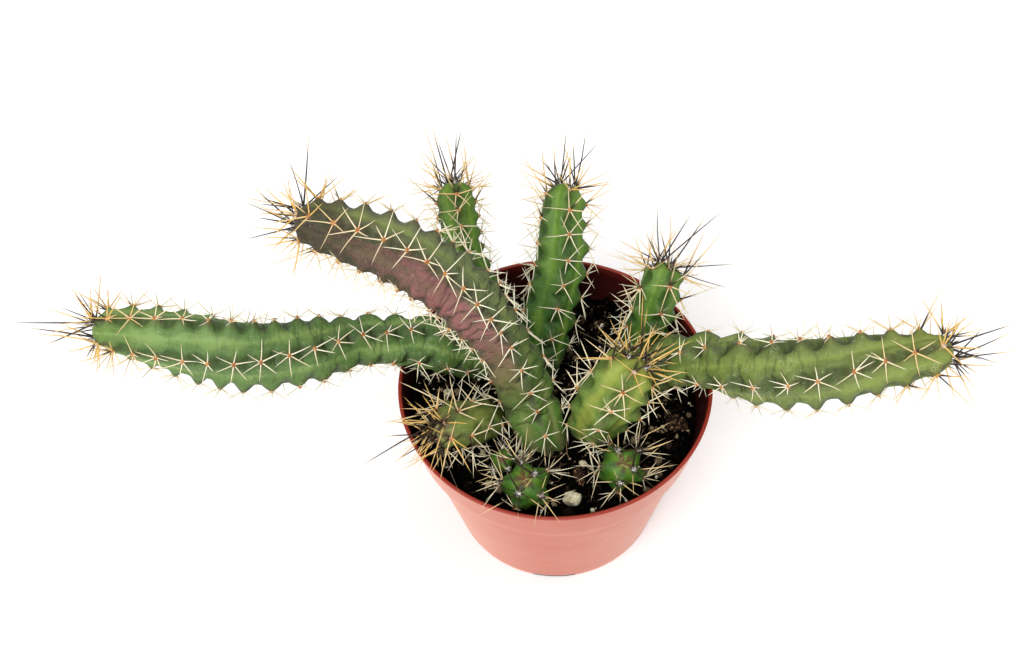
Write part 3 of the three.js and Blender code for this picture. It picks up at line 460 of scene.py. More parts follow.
# Stems
class Curve:
    """A smooth line through points, measured by its length."""

    STEPS = 400

    def __init__(self, path):
        points = np.array(path, float)
        ends = 2 * points[0] - points[1], 2 * points[-1] - points[-2]
        self.points = np.vstack([ends[0], points, ends[1]])
        self.shares = np.linspace(0, 1, self.STEPS + 1)
        steps = np.linalg.norm(np.diff(self.at_share(self.shares), axis=0), axis=1)
        self.reach = np.concatenate([[0], np.cumsum(steps)])
        self.length = self.reach[-1]

    def at_share(self, share):
        spans = len(self.points) - 3
        where = np.clip(share, 0, 1) * spans
        i = np.minimum(where.astype(int), spans - 1)
        w = (where - i)[:, None]
        p0, p1, p2, p3 = (self.points[i + k] for k in range(4))
        d0, d1, d2 = (np.sqrt(np.linalg.norm(b - a, axis=1))[:, None]
                      for a, b in ((p0, p1), (p1, p2), (p2, p3)))
        t1 = ((p1 - p0) / d0 - (p2 - p0) / (d0 + d1) + (p2 - p1) / d1) * d1
        t2 = ((p2 - p1) / d1 - (p3 - p1) / (d1 + d2) + (p3 - p2) / d2) * d1
        bend = -3 * p1 + 3 * p2 - 2 * t1 - t2
        twist = 2 * p1 - 2 * p2 + t1 + t2
        return p1 + t1 * w + bend * w**2 + twist * w**3

    def at_length(self, s):
        return self.at_share(np.interp(s, self.reach, self.shares))


class Stem:
    """A stem's middle line with its radius, the directions of its ribs, and its areoles."""

    def __init__(self, number, facts):
        self.number, self.facts = number, {**STEM_DEFAULTS, **facts}
        self.curve = Curve(facts["path"])
        self.length = self.curve.length
        self.small = len(facts["path"]) <= SHOOT_POINTS
        self.dome = facts["radii"][-1][1] * (SHOOT_DOME if self.small else DOME)
        self.valley_depth = SHOOT_VALLEY_DEPTH if self.small else VALLEY_DEPTH
        self.relief_scale = SHOOT_RELIEF if self.small else 1
        self.central_reach = SHOOT_CENTRAL_REACH if self.small else CENTRAL_REACH
        self.paired_reach = 0 if self.small else PAIRED_REACH
        self.dome_start = self.length - self.dome
        self.sample_s = np.arange(0, self.length + 1e-9, SAMPLE_STEP)
        self.sample_points = self.axis(self.sample_s)
        self.sample_radii = self.radius(self.sample_s)
        self.areoles = self.list_areoles()

    def axis(self, s):
        return self.curve.at_length(np.clip(np.atleast_1d(s), 0, self.length))

    def radius(self, s):
        s = np.atleast_1d(s)
        inside = np.maximum(0, (s - self.dome_start) / self.dome)
        cap = np.sqrt(np.maximum(0, 1 - inside * inside))
        return blend_list(self.facts["radii"], s / self.length) * cap

    def along(self, s):
        s = np.atleast_1d(s)
        return unit(self.axis(s + TANGENT_STEP) - self.axis(s - TANGENT_STEP))

    def frame(self, s):
        """The ways along the stem, to its front, which faces the camera, and to its side."""
        tangent = self.along(np.minimum(s, self.length - TANGENT_END))
        front = unit(FACING - tangent * (tangent @ FACING)[:, None])
        return tangent, front, np.cross(tangent, front)

    def outward(self, s, angle):
        _, front, side = self.frame(np.atleast_1d(s))
        angle = np.atleast_1d(angle)[:, None]
        return front * np.cos(angle) + side * np.sin(angle)

    def rib_angle(self, rib, s):
        return rib * RIB_STEP + np.radians(self.facts["angle"] + self.facts["turn"] * s)

    def covers(self, q, margin):
        """Whether points lie within a margin of the body, judged at its nearest place."""
        offset = q[:, None] - self.sample_points[None]
        nearest = np.linalg.norm(offset, axis=2).argmin(axis=1)
        offset = offset[np.arange(len(q)), nearest]
        ahead = (offset * self.along(self.sample_s[nearest])).sum(1)
        place = self.sample_s[nearest] + ahead
        aside = np.sqrt(np.maximum(0, (offset * offset).sum(1) - ahead * ahead))
        inside = aside < self.radius(np.clip(place, 0, self.length)) + margin
        return inside & (place < self.length + margin)

    def relief(self, s):
        """From 0 at the stem's foot to 1 where its ribs have their full depth."""
        return smooth((s - RELIEF_START * self.relief_scale) / (RELIEF_LENGTH * self.relief_scale))

    def surface(self, s, angle):
        return self.axis(s) + self.outward(s, angle) * self.radius(s)[:, None]

    def place_from_tip(self, distance):
        """The place along the axis at a distance from the tip, over the dome's skin."""
        arc = self.dome * math.pi / 2
        if distance < arc:
            return self.dome_start + self.dome * math.sin(math.pi / 2 - distance / self.dome)
        return self.dome_start - (distance - arc)

    def distance_at(self, turns):
        """How far from the tip an areole lies after these turns of the spiral."""
        row, start = self.facts["row"], self.facts["start"]
        step = turns - start
        if step < 0:
            return YOUNGEST_AREOLE + (row[0] - YOUNGEST_AREOLE) * (turns / start) ** YOUNG_POWER
        i = min(math.floor(step), len(row) - 2)
        return row[i] + (row[i + 1] - row[i]) * (step - i)

    def list_areoles(self):
        """The areoles from the tip down, each two fifths of a turn on from the one before."""
        found, number = [], 0
        while True:
            turns = number / RIBS
            s = self.place_from_tip(self.distance_at(turns))
            if s < LOWEST_AREOLE:
                return found
            rib = (2 * number * self.facts["hand"]) % RIBS
            place = self.surface(s, self.rib_angle(rib, s))[0]
            crowded = any(other.rib == rib and math.dist(other.base, place) < PAD_SPACING
                          for other in found)
            if not crowded and place[2] > soil_height(*place[:2]) + BARE_ABOVE_SOIL:
                found.append(Areole(self, number, turns, rib, s))
            number += 1


class Areole:
    """The raised pad that a star of spines grows from."""

    def __init__(self, stem, number, turns, rib, s):
        self.stem, self.number, self.turns, self.rib, self.s = stem, number, turns, rib, s
        angle = stem.rib_angle(rib, s)
        out = stem.outward(s, angle)[0]
        tangent = stem.along(min(s, stem.length - TANGENT_END))[0]
        self.side = unit(np.cross(tangent, out))
        ahead = stem.surface(min(s + 0.4, stem.length), angle)[0]
        self.along = unit(ahead - stem.surface(s - 0.4, angle)[0])
        self.normal = unit(np.cross(self.side, self.along))
        self.base = stem.surface(s, angle)[0]
        self.middle = self.base + self.normal * PAD_RAISE
        self.youth = math.exp(-turns / CENTRAL_TURNS)
        self.age = 1 - s / stem.length

    def corner(self, i):
        """A corner of the pad's six-sided foot."""
        turn = i * 2 * math.pi / PAD_FACETS
        drop = PAD_DROP * math.sin(turn) ** 2
        return (self.base + self.along * PAD_RADIUS * math.cos(turn)
                + self.side * PAD_RADIUS * math.sin(turn) - self.normal * drop)

    def heading(self, rise, turn):
        """A direction by its rise from the skin and its turn from the way to the tip."""
        flat = self.along * math.cos(turn) + self.side * math.sin(turn)
        return flat * math.cos(rise) + self.normal * math.sin(rise)


stems = [Stem(number, facts) for number, facts in enumerate(STEMS)]
sample_points = np.concatenate([stem.sample_points for stem in stems])
sample_radii = np.concatenate([stem.sample_radii for stem in stems])


class Spines:
    """All spines grown so far, and the test that a new one is clear of everything."""

    def __init__(self):
        self.owner = np.concatenate([np.full(len(s.sample_s), s.number) for s in stems])
        self.grown = []
        self.root = np.zeros((0, 3))
        self.tip = np.zeros((0, 3))

    def clear_of_solids(self, stem, root, tip, foot):
        """Whether a spine of this thickness keeps off the stems, the pot, the soil and chips."""
        share = np.arange(2, 11) / 10
        q = root + (tip - root) * share[:, None]
        thick = foot * (1 - share) + TIP_THICKNESS
        own = self.owner == stem.number
        near_root = np.linalg.norm(q - root, axis=1) < ROOT_ZONE
        if (stem.covers(q, thick + OWN_ROOM + PAD_RAISE) & ~near_root).any():
            return False
        room = sample_radii + STEM_ROOM + PAD_RAISE
        gap = np.linalg.norm(q[:, None] - sample_points[None], axis=2) - room - thick[:, None]
        if gap[:, ~own].min() < 0:
            return False
        r = np.hypot(q[:, 0], q[:, 1])
        in_wall = (q[:, 2] < POT_HEIGHT + thick + CLEARANCE)
        in_wall &= r < POT_RIM_RADIUS + thick + CLEARANCE
        in_wall &= r > pot_inner_radius(q[:, 2]) - thick - CLEARANCE
        level = soil_height(q[:, 0], q[:, 1]) + SOIL_ROOM
        in_soil = (r < POT_RIM_RADIUS) & (q[:, 2] < level + thick)
        if in_wall.any() or in_soil.any():
            return False
        for chip in CHIPS:
            reach = max(chip["half"]) + thick + CLEARANCE
            beside = np.hypot(q[:, 0] - chip["centre"][0], q[:, 1] - chip["centre"][1]) < reach
            if (beside & (q[:, 2] < SOIL_LEVEL + CHIP_ZONE)).any():
                return False
        return True

    def clear_of_spines(self, areole, root, tip, foot, spread, spacing):
        """Whether it keeps off other spines, by the nearest places of each two lines."""
        if not self.grown:
            return True
        d1, d2, r = tip - root, self.tip - self.root, root - self.root
        a, e, b = d1 @ d1, (d2 * d2).sum(1), d2 @ d1
        c, f = r @ d1, (d2 * r).sum(1)
        bottom = a * e - b * b
        s = np.where(bottom > 1e-9, np.clip((b * f - c * e) / np.maximum(bottom, 1e-9), 0, 1), 0)
        t = np.clip((b * s + f) / e, 0, 1)
        s = np.clip((b * t - c) / a, 0, 1)
        gap = np.linalg.norm(r + d1 * s[:, None] - d2 * t[:, None], axis=1)
        free = gap > foot * (2 - s - t) + spacing
        free |= np.linalg.norm(r, axis=1) > np.sqrt(a) + np.sqrt(e)
        angle = np.arccos(np.clip(unit(d2) @ unit(d1), -1, 1))
        same = np.array([spine["areole"] is areole for spine in self.grown])
        return bool(np.where(same, angle > spread, free).all())

    def fits(self, areole, root, tip, room, central=False):
        """Keeps a spine that is clear of everything, and says whether it was kept."""
        foot, *between = room
        if not (self.clear_of_solids(areole.stem, root, tip, foot)
                and self.clear_of_spines(areole, root, tip, *between)):
            return False
        self.grown.append(dict(areole=areole, root=root, tip=tip, central=central))
        self.root = np.vstack([self.root, root])
        self.tip = np.vstack([self.tip, tip])
        return True

    def grow(self, areole, facet):
        """The spine on one facet of a pad, where the part has it."""
        key = (areole.stem.number, areole.number, facet)
        youth = areole.youth
        high = areole.number % 2 * (PAD_FACETS - 1)
        first = facet == high and areole.turns < areole.stem.central_reach
        second = facet == PAD_FACETS - 1 - high and areole.turns < areole.stem.paired_reach
        central = first or second
        if not central and draw(*key, 1) < MISSING_SHARE + OLD_MISSING_SHARE * areole.age:
            return
        ends = areole.corner(facet), areole.corner((facet + 1) % PAD_FACETS)
        root = (areole.middle + ends[0] + ends[1]) / 3
        radial = RADIAL_LENGTH * (1 + YOUNG_RADIAL_GAIN * youth - OLD_RADIAL_LOSS * areole.age)
        for attempt in range(SPINE_TRIES):
            fit = areole.stem.facts["spines"] * (1 - TRY_LOSS * attempt)
            jitter = (draw(*key, 2, attempt) - 0.5) * (0.35 + 0.06 * attempt)
            turn = (facet + 0.5) * 2 * math.pi / PAD_FACETS + jitter
            lean = draw(*key, 3, attempt)
            size = draw(*key, 4, attempt)
            if central:
                rise = 0.65 + 0.45 * lean
                length = CENTRAL_LENGTH * (0.6 + 0.5 * size) * (0.45 + 0.5 * youth) * fit
            else:
                rise = 0.2 + 0.36 * lean + 0.45 * youth + 0.05 * attempt
                length = radial * (0.75 + 0.45 * size) * fit
            tip = root + areole.heading(rise, turn) * length
            if length > SPINE_MIN_LENGTH and self.fits(areole, root, tip, PART_ROOM, central):
                return

    def grow_extra(self, areole, number):
        """One more thin spine between those of the part."""
        key = (areole.stem.number, areole.number, 40 + number)
        full = RADIAL_LENGTH * (1 + YOUNG_RADIAL_GAIN * areole.youth - OLD_RADIAL_LOSS * areole.age)
        full *= areole.stem.facts["spines"]
        for attempt in range(SPINE_TRIES):
            turn = 2 * math.pi * draw(*key, 1, attempt)
            lean = draw(*key, 2, attempt)
            rise = 0.12 + 0.3 * lean + 0.6 * areole.youth * draw(*key, 3, attempt)
            length = full * (0.35 + 0.65 * draw(*key, 4, attempt)) * (1 - 0.03 * attempt)
            length *= 1 + (1.1 if areole.stem.small else 0.9) * areole.youth
            root = areole.middle + areole.heading(0.1, turn) * 0.55 - areole.normal * 0.15
            tip = root + areole.heading(rise, turn) * length
            if self.fits(areole, root, tip, EXTRA_ROOM):
                return


def grow_all():
    """All spines of the part, in its order, and then thin ones until each areole has enough."""
    spines = Spines()
    for stem in stems:
        for rib in range(RIBS):
            for areole in sorted((a for a in stem.areoles if a.rib == rib), key=lambda a: a.s):
                for facet in range(PAD_FACETS):
                    spines.grow(areole, facet)
    for stem in stems:
        for areole in stem.areoles:
            held = sum(spine["areole"] is areole for spine in spines.grown)
            wanted = 4 + round(1.9 * draw(stem.number, areole.number, 30)
                               + (1 if stem.small else 3.5) * areole.youth)
            for number in range(max(0, wanted - held)):
                spines.grow_extra(areole, number)
    return spines.grown


# Materials
def linear(colour):
    """A colour written as red, green and blue from 0 to 255, as linear light."""
    channels = np.array(colour, float) / 255
    light = np.where(channels <= 0.04045, channels / 12.92, ((channels + 0.055) / 1.055) ** 2.4)
    return (*light, 1.0)


class Paint:
    """A material's nodes, added one by one, and its colour so far."""

    def __init__(self, name, roughness):
        self.material = bpy.data.materials.new(name)
        self.material.use_nodes = True
        self.tree = self.material.node_tree
        self.shader = self.tree.nodes["Principled BSDF"]
        self.set(self.shader, {"Roughness": roughness})
        self.colour = None

    def set(self, node, values):
        for key, value in values.items():
            socket = node.inputs[key]
            if isinstance(value, bpy.types.NodeSocket):
                self.tree.links.new(value, socket)
            else:
                socket.default_value = value

    def node(self, kind, values, **fields):
        node = self.tree.nodes.new("ShaderNode" + kind)
        for key, value in fields.items():
            setattr(node, key, value)
        self.set(node, values)
        return node

    def numbers(self, *names):
        """The mesh's own numbers at each point."""
        nodes = [self.node("Attribute", {}, attribute_name=name) for name in names]
        return [node.outputs["Fac"] for node in nodes]

    def place(self, scale=(1, 1, 1), name=None):
        """The place in space, or in the mesh's own vector of this name."""
        if name:
            source = self.node("Attribute", {}, attribute_name=name).outputs["Vector"]
        else:
            source = self.node("TexCoord", {}).outputs["Object"]
        return self.node("Mapping", {"Vector": source, "Scale": scale}).outputs["Vector"]

    def noise(self, vector, scale, detail=3, rough=0.55, twist=0.0):
        values = {"Vector": vector, "Scale": scale, "Detail": detail, "Roughness": rough,
                  "Distortion": twist}
        return self.node("TexNoise", values).outputs["Fac"]

    def cells(self, vector, scale):
        return self.node("TexVoronoi", {"Vector": vector, "Scale": scale}).outputs["Distance"]

    def math(self, operation, first, *others, clamp=False):
        """The first value combined with the next one, the result with the one after, and so on."""
        for other in others or [0.0]:
            values = {0: first, 1: other}
            node = self.node("Math", values, operation=operation, use_clamp=clamp)
            first = node.outputs[0]
        return first

    def times(self, *values):
        return self.math("MULTIPLY", *values)

    def plus(self, *values, clamp=False):
        return self.math("ADD", *values, clamp=clamp)

    def minus(self, a, b):
        return self.math("SUBTRACT", a, b)

    def span(self, value, low, high, bottom=0.0, top=1.0):
        """The value taken from low..high to bottom..top, eased at both ends."""
        values = {"Value": value, "From Min": low, "From Max": high, "To Min": bottom,
                  "To Max": top}
        return self.node("MapRange", values, interpolation_type="SMOOTHSTEP").outputs["Result"]

    def ramp(self, value, stops):
        node = self.node("ValToRGB", {"Fac": value})
        band = node.color_ramp
        while len(band.elements) < len(stops):
            band.elements.new(0.5)
        for element, (place, colour) in zip(band.elements, stops):
            element.position = place
            element.color = linear(colour)
        return node.outputs["Color"]

    def mix(self, share, a, b):
        a, b = (linear(c) if isinstance(c, tuple) else c for c in (a, b))
        return self.node("Mix", {"Factor": share, 6: a, 7: b}, data_type="RGBA").outputs[2]

    def over(self, share, colour):
        """Lays a share of a colour over the colour so far."""
        self.colour = self.mix(share, self.colour, colour)

    def bump(self, height, depth):
        values = {"Height": height, "Distance": depth * MM, "Strength": 1.0}
        return self.node("Bump", values).outputs["Normal"]

    def finish(self, values):
        self.set(self.shader, {"Base Color": self.colour, **values})
        return self.material


# The skins: the material slot, the colour at the tip, in the middle, at the base, in the furrows (a
# yellow-green tint with a painted highlight), on the crests (painted shade) and of the smears, how
# much it creases and gleams, and how far the tip's reaches.
SKIN_KEYS = ("slot", "tip", "middle", "base", "light", "deep", "mark", "crease", "gleam", "cap")
SKINS = {name: dict(zip(SKIN_KEYS, values)) for name, *values in (
    ("leafy", "stem_green", (98, 128, 54), (90, 120, 62), (76, 110, 46), (132, 160, 88),
     (44, 72, 32), (84, 68, 58), 0.65, 0.45, 0.22),
    ("greyed", "stem_green", (118, 128, 54), (104, 118, 60), (92, 116, 46), (132, 149, 72),
     (54, 70, 36), (88, 70, 60), 0.75, 0.4, 0.22),
    ("fresh", "stem_green", (90, 124, 42), (80, 118, 40), (38, 84, 34), (112, 146, 52),
     (28, 60, 20), (70, 84, 46), 0.1, 0.55, 0.22),
    ("yellowed", "stem_young", (128, 142, 50), (104, 130, 54), (80, 116, 46), (150, 162, 70),
     (56, 84, 32), (106, 92, 56), 0.3, 0.45, 0.22),
    ("browned", "stem_young", (84, 60, 50), (112, 129, 58), (88, 116, 46), (146, 156, 80),
     (48, 66, 26), (92, 66, 54), 0.3, 0.4, 0.1),
    ("shoot", "stem_young", (104, 40, 28), (57, 102, 25), (34, 76, 24), (88, 130, 32),
     (18, 44, 14), (50, 72, 30), 0.0, 0.6, 0.03),
    ("purple", "stem_purple", (72, 72, 44), (100, 104, 72), (78, 118, 38), (124, 137, 75),
     (56, 60, 38), (80, 66, 60), 1.0, 0.3, 0.22),
)}
BLUSH_STOPS = [(0.0, (48, 35, 32)), (0.12, (68, 50, 43)), (0.25, (106, 70, 65)),
               (0.38, (144, 84, 90)), (0.5, (142, 98, 92)), (0.64, (126, 110, 78)),
               (0.8, (98, 114, 56))]


def skin_paint(name, look):
    """Waxy skin with smears, a yellow-green tint and a painted highlight in the furrows, and
    painted shade on the crests, in the notch dips and in the dark creases.
    """
    paint = Paint("skin_" + name, roughness=0.42)
    skin, rings = paint.place(name="skin"), paint.place((0.13, 0.13, 2.2), "skin")
    age, flank, dip, crease, pad, dusty = paint.numbers("age", "flank", "dip", "crease", "pad",
                                                        "dust")
    cloud = paint.noise(skin, 0.1, 3)
    mottle = paint.noise(skin, 0.5, 4, 0.6)
    fine = paint.noise(skin, 2.0, 5, 0.65)
    wrinkle = paint.noise(rings, 1.0, 4, 0.6, 0.3)
    paint.colour = paint.ramp(age, [(0.0, look["tip"]), (look["cap"], look["middle"]),
                                    (0.85, look["base"])])
    green = worn = 1.0
    if name == "purple":
        [blush] = paint.numbers("blush")
        tint = paint.ramp(paint.plus(age, paint.span(mottle, 0.3, 0.7, -0.05, 0.05)), BLUSH_STOPS)
        paint.over(paint.times(blush, paint.span(cloud, 0.2, 0.5, 0.75, 1)), tint)
        green = paint.span(blush, 0.7, 0.1, 0.15, 1)
        worn = paint.span(age, 0.86, 0.6, 0.15, 1)
    # Painted light across each rib: paler towards the furrows (painted highlight with a
    # yellow-green tint), darker towards the crests and in the notch dips (painted shade).
    place = paint.plus(flank, paint.span(cloud, 0.3, 0.7, -0.26, 0.26),
                       paint.span(mottle, 0.3, 0.7, -0.1, 0.1))
    place = paint.minus(place, paint.times(dip, 0.4))
    paint.over(paint.times(paint.span(place, 0.42, 1.05), 0.85, green), look["light"])
    # The crest colour is painted shade.
    paint.over(paint.times(paint.span(place, 0.34, -0.1), 0.7), look["deep"])
    smear = paint.times(paint.span(flank, 0.5, 0.08), paint.span(wrinkle, 0.44, 0.66),
                        paint.span(cloud, 0.4, 0.56, 0.1, 0.9))
    paint.over(smear, look["mark"])
    bright = tuple(min(255, round(c * 1.12 + 26)) for c in look["light"])
    paint.over(paint.span(fine, 0.42, 0.72, 0.0, 0.14), bright)
    fleck = paint.times(paint.span(paint.cells(skin, 0.62), 0.13, 0.06),
                        paint.span(mottle, 0.5, 0.56), 0.6)
    paint.over(fleck, (214, 216, 186))
    if name in ("leafy", "greyed"):
        cell = paint.cells(skin, 0.42)
        patch = paint.span(paint.noise(skin, 0.06, 1), 0.56, 0.64, 0, 0.35)
        ring = paint.times(paint.span(cell, 0.26, 0.3), paint.span(cell, 0.38, 0.33), patch)
        paint.over(ring, (176, 186, 150))
    # Painted shade in the fine folds and in the crease grooves across the ribs: both are dented and
    # also painted darker.
    dark = tuple(round(c * 0.4) for c in look["mark"])
    fold = paint.math("ABSOLUTE", paint.minus(paint.noise(rings, 0.3, 2, 0.5, 1.2), 0.5))
    lines = paint.times(paint.span(fold, 0.022, 0.005), paint.span(age, 0.1, 0.45),
                        paint.span(mottle, 0.4, 0.6, 0, 0.6 * look["crease"]), worn)
    paint.over(lines, dark)
    paint.over(paint.times(crease, 0.85), dark)
    paint.over(paint.times(pad, 0.4), (118, 92, 62))
    paint.over(paint.times(dusty, paint.span(fine, 0.3, 0.6, 0.2, 0.7)), (74, 62, 44))
    height = paint.plus(paint.times(wrinkle, 0.9), paint.times(fine, 0.4))
    height = paint.times(paint.minus(height, paint.times(lines, 0.6)), worn)
    shine = 0.3 * look["gleam"]
    return paint.finish({"Normal": paint.bump(height, 0.14 * (0.3 + look["crease"] * 0.7)),
                         "Roughness": paint.span(fine, 0.3, 0.75, 0.66 - shine, 0.8 - shine),
                         "Specular IOR Level": 0.35})


def spine_paint():
    """Cream spines with a rusty foot, golden when young, and black-brown at the apex."""
    paint = Paint("spine_horn", roughness=0.36)
    reach, young, dark = paint.numbers("reach", "young", "dark")
    paint.colour = paint.mix(young, (250, 244, 216), (238, 192, 102))
    paint.over(paint.times(paint.span(reach, 0.13, 0.0), paint.span(young, 0.0, 1.0, 0.6, 0.85)),
               (200, 124, 60))
    paint.over(paint.times(paint.span(reach, 0.8, 1.0), paint.span(young, 0.2, 0.8, 0.6, 0.1)),
               (150, 116, 92))
    paint.over(paint.times(paint.span(dark, 0.02, 0.06),
                           paint.span(paint.minus(reach, dark), 0.1, -0.12)), (40, 24, 20))
    streak = paint.noise(paint.place((3000, 3000, 3000)), 1.0, 2)
    paint.over(paint.span(streak, 0.45, 0.7, 0, 0.1), (190, 160, 96))
    return paint.finish({"Normal": paint.bump(streak, 0.03)})


def felt_paint():
    """Woolly felt: white on the young areoles and orange-brown on the grown ones."""
    paint = Paint("felt_wool", roughness=0.95)
    young, tone = paint.numbers("young", "tone")
    paint.colour = paint.mix(tone, (192, 116, 52), (226, 172, 108))
    paint.over(young, (250, 247, 240))
    fluff = paint.noise(paint.place((2200, 2200, 2200)), 1.0, 3)
    paint.over(paint.span(fluff, 0.35, 0.65, 0, 0.4), (96, 58, 40))
    return paint.finish({"Normal": paint.bump(fluff, 0.2)})


def pot_paint():
    """Moulded terracotta-coloured plastic: paler and scuffed outside, deep brick on the lip, with
    painted shade inside, a painted highlight along the collar's edge and a painted sheen where the
    wall turns away.
    """
    paint = Paint("pot_plastic", roughness=0.45)
    zone, seam = paint.numbers("zone", "seam")
    spot = paint.place()
    # Painted shade inside the pot, darkest deep down; the lip is deep brick, and the outside grows
    # a little paler towards the foot as a painted reflection of the white floor.
    paint.colour = paint.ramp(zone, [
        (0.0, (44, 7, 7)), (0.3, (58, 10, 9)), (0.44, (128, 34, 22)), (0.56, (168, 58, 36)),
        (0.66, (178, 84, 64)), (1.0, (184, 93, 72))])
    outside = paint.span(zone, 0.6, 0.66)
    veil = paint.times(paint.span(paint.noise(spot, 30, 3), 0.35, 0.7, 0, 0.35), outside)
    paint.over(veil, (202, 122, 100))
    scuff = paint.noise(paint.place((60, 60, 900)), 1.0, 5, 0.7, 0.4)
    paint.over(paint.times(paint.span(scuff, 0.58, 0.72), outside, 0.4), (218, 150, 130))
    # Painted highlight along the collar's lower edge, broken up by noise.
    highlight_breakup = paint.noise(paint.place((90, 90, 1500)), 1.0, 4, 0.7, 0.8)
    paint.over(paint.times(paint.span(highlight_breakup, 0.35, 0.6), seam, 0.85), (236, 176, 156))
    # Darker brown patches, stronger towards the inside of the pot.
    inner_dark_patches = paint.times(paint.span(paint.noise(spot, 260, 4, 0.7), 0.6, 0.74), 0.35)
    paint.over(paint.times(inner_dark_patches, paint.span(zone, 0.6, 0.2)), (40, 22, 18))
    # Painted sheen: the outside grows paler where the wall turns away from the view, a painted
    # reflection of the white surroundings.
    facing = paint.node("LayerWeight", {"Blend": 0.5}).outputs["Facing"]
    paint.over(paint.span(paint.times(facing, outside), 0.64, 1.0, 0, 0.6), (250, 192, 170))
    height = paint.plus(paint.noise(spot, 900, 2), paint.times(scuff, 0.6))
    return paint.finish({"Roughness": paint.span(scuff, 0.3, 0.7, 0.38, 0.56),
                         "Normal": paint.bump(height, 0.05), "Specular IOR Level": 0.4})


def soil_paint():
    """Damp black peat."""
    paint = Paint("soil_peat", roughness=0.9)
    spot = paint.place()
    cloud, grit = paint.noise(spot, 180, 4), paint.noise(spot, 1500, 5, 0.7)
    paint.colour = paint.ramp(cloud, [(0.35, (3, 3, 2)), (0.55, (9, 7, 6)), (0.75, (22, 17, 13))])
    paint.over(paint.span(grit, 0.6, 0.76, 0, 0.5), (60, 48, 36))
    return paint.finish({"Specular IOR Level": 0.03,
                         "Roughness": paint.span(grit, 0.3, 0.7, 0.7, 0.95),
                         "Normal": paint.bump(paint.plus(cloud, grit), 0.9)})


def grit_paint(name, stops, depth, gleam=0.12):
    """Loose bits, each with a colour of its own and a mottled face."""
    paint = Paint(name, roughness=0.88)
    [tone] = paint.numbers("tone")
    spot = paint.place()
    mottle, pits = paint.noise(spot, 1100, 4, 0.65), paint.noise(spot, 3200, 3)
    shift = paint.span(mottle, 0.25, 0.75, -0.16, 0.16)
    paint.colour = paint.ramp(paint.plus(tone, shift, clamp=True), stops)
    return paint.finish({"Specular IOR Level": gleam,
                         "Roughness": paint.span(pits, 0.3, 0.7, 0.76, 0.96),
                         "Normal": paint.bump(paint.plus(mottle, pits), depth)})


# The stems' skin
def notch_share(stem, rib, s):
    """How far a crest drops, as a share of the radius, and the middles between its areoles."""
    places = sorted(areole.s for areole in stem.areoles if areole.rib == rib)
    drop, middles = np.zeros_like(s), []
    for low, high in zip(places, places[1:]):
        u = (s - low) / (high - low)
        inside = (u > 0) & (u < 1)
        u = np.clip(u, 0, 1)
        age = smooth((stem.length - s) / stem.length * 2.2 - 0.55)
        scallop = np.sin(math.pi * u) ** 1.9
        lobe = 0.28 * np.sin(math.pi * u) + 0.85 * np.exp(-(((u - 0.5) / 0.13) ** 2))
        shape = scallop * (1 - age) + lobe * age
        depth = NOTCH_DEPTH * stem.facts["notch"] * min(1, (high - low) / FULL_NOTCH_SPACING)
        drop = np.where(inside, depth * shape * stem.relief(s), drop)
        middles.append((low + high) / 2)
    if places:
        below = (s < places[0]) & (s > 4)
        drop = np.where(below, 0.05 * stem.relief(s) * smooth((places[0] - s) / 4), drop)
    return drop, middles


def crease_map(stem, s, theta, middles):
    """Fine grooves across the ribs, from each notch towards the neighbouring ribs."""
    look = SKINS[stem.facts["skin"]]
    grooves, chosen = np.zeros(theta.shape), []
    for rib, places in enumerate(middles):
        for order, place in enumerate(places):
            key = (stem.number, rib, order)
            age = (stem.length - place) / stem.length
            strength = float(smooth(age * 3.2 - 0.5)) * look["crease"]
            chosen.append((rib, place, key, strength, 1.0))
            for extra in range(3):
                if draw(*key, 50 + extra) < 0.55 * age + 0.15:
                    shift = (draw(*key, 60 + extra) - 0.5) * FULL_NOTCH_SPACING
                    chosen.append((rib, place + shift, (*key, extra), strength * 0.7, 0.5))
    for rib, place, key, strength, width in chosen:
        rows = np.abs(s - place) < MAP_REACH
        if not rows.any() or strength < 0.02:
            continue
        angle = theta[rows] - stem.rib_angle(rib, s[rows])[:, None]
        across = (angle + math.pi) % (2 * math.pi) - math.pi
        across = across / (RIB_STEP / 2)
        slant = (draw(*key, 71) - 0.5) * 1.6
        wave = 0.35 * np.sin(across * 3.1 + 6 * draw(*key, 72))
        wave = wave + 0.18 * np.sin(across * 9.7 + 6 * draw(*key, 73))
        line = place + slant * across + wave
        ends = 0.7 + 1.2 * draw(*key, 74), 0.7 + 1.2 * draw(*key, 75)
        reach = np.where(across > 0, ends[0], ends[1])
        start = 0.0 if width == 1.0 else 0.5 * draw(*key, 76)
        fade = smooth((reach - np.abs(across)) / 0.35) * smooth((np.abs(across) - start) / 0.1 + 1)
        groove = np.exp(-(((s[rows][:, None] - line) / (0.16 + 0.12 * width)) ** 2))
        grooves[rows] = np.maximum(grooves[rows], groove * fade * strength)
    return grooves


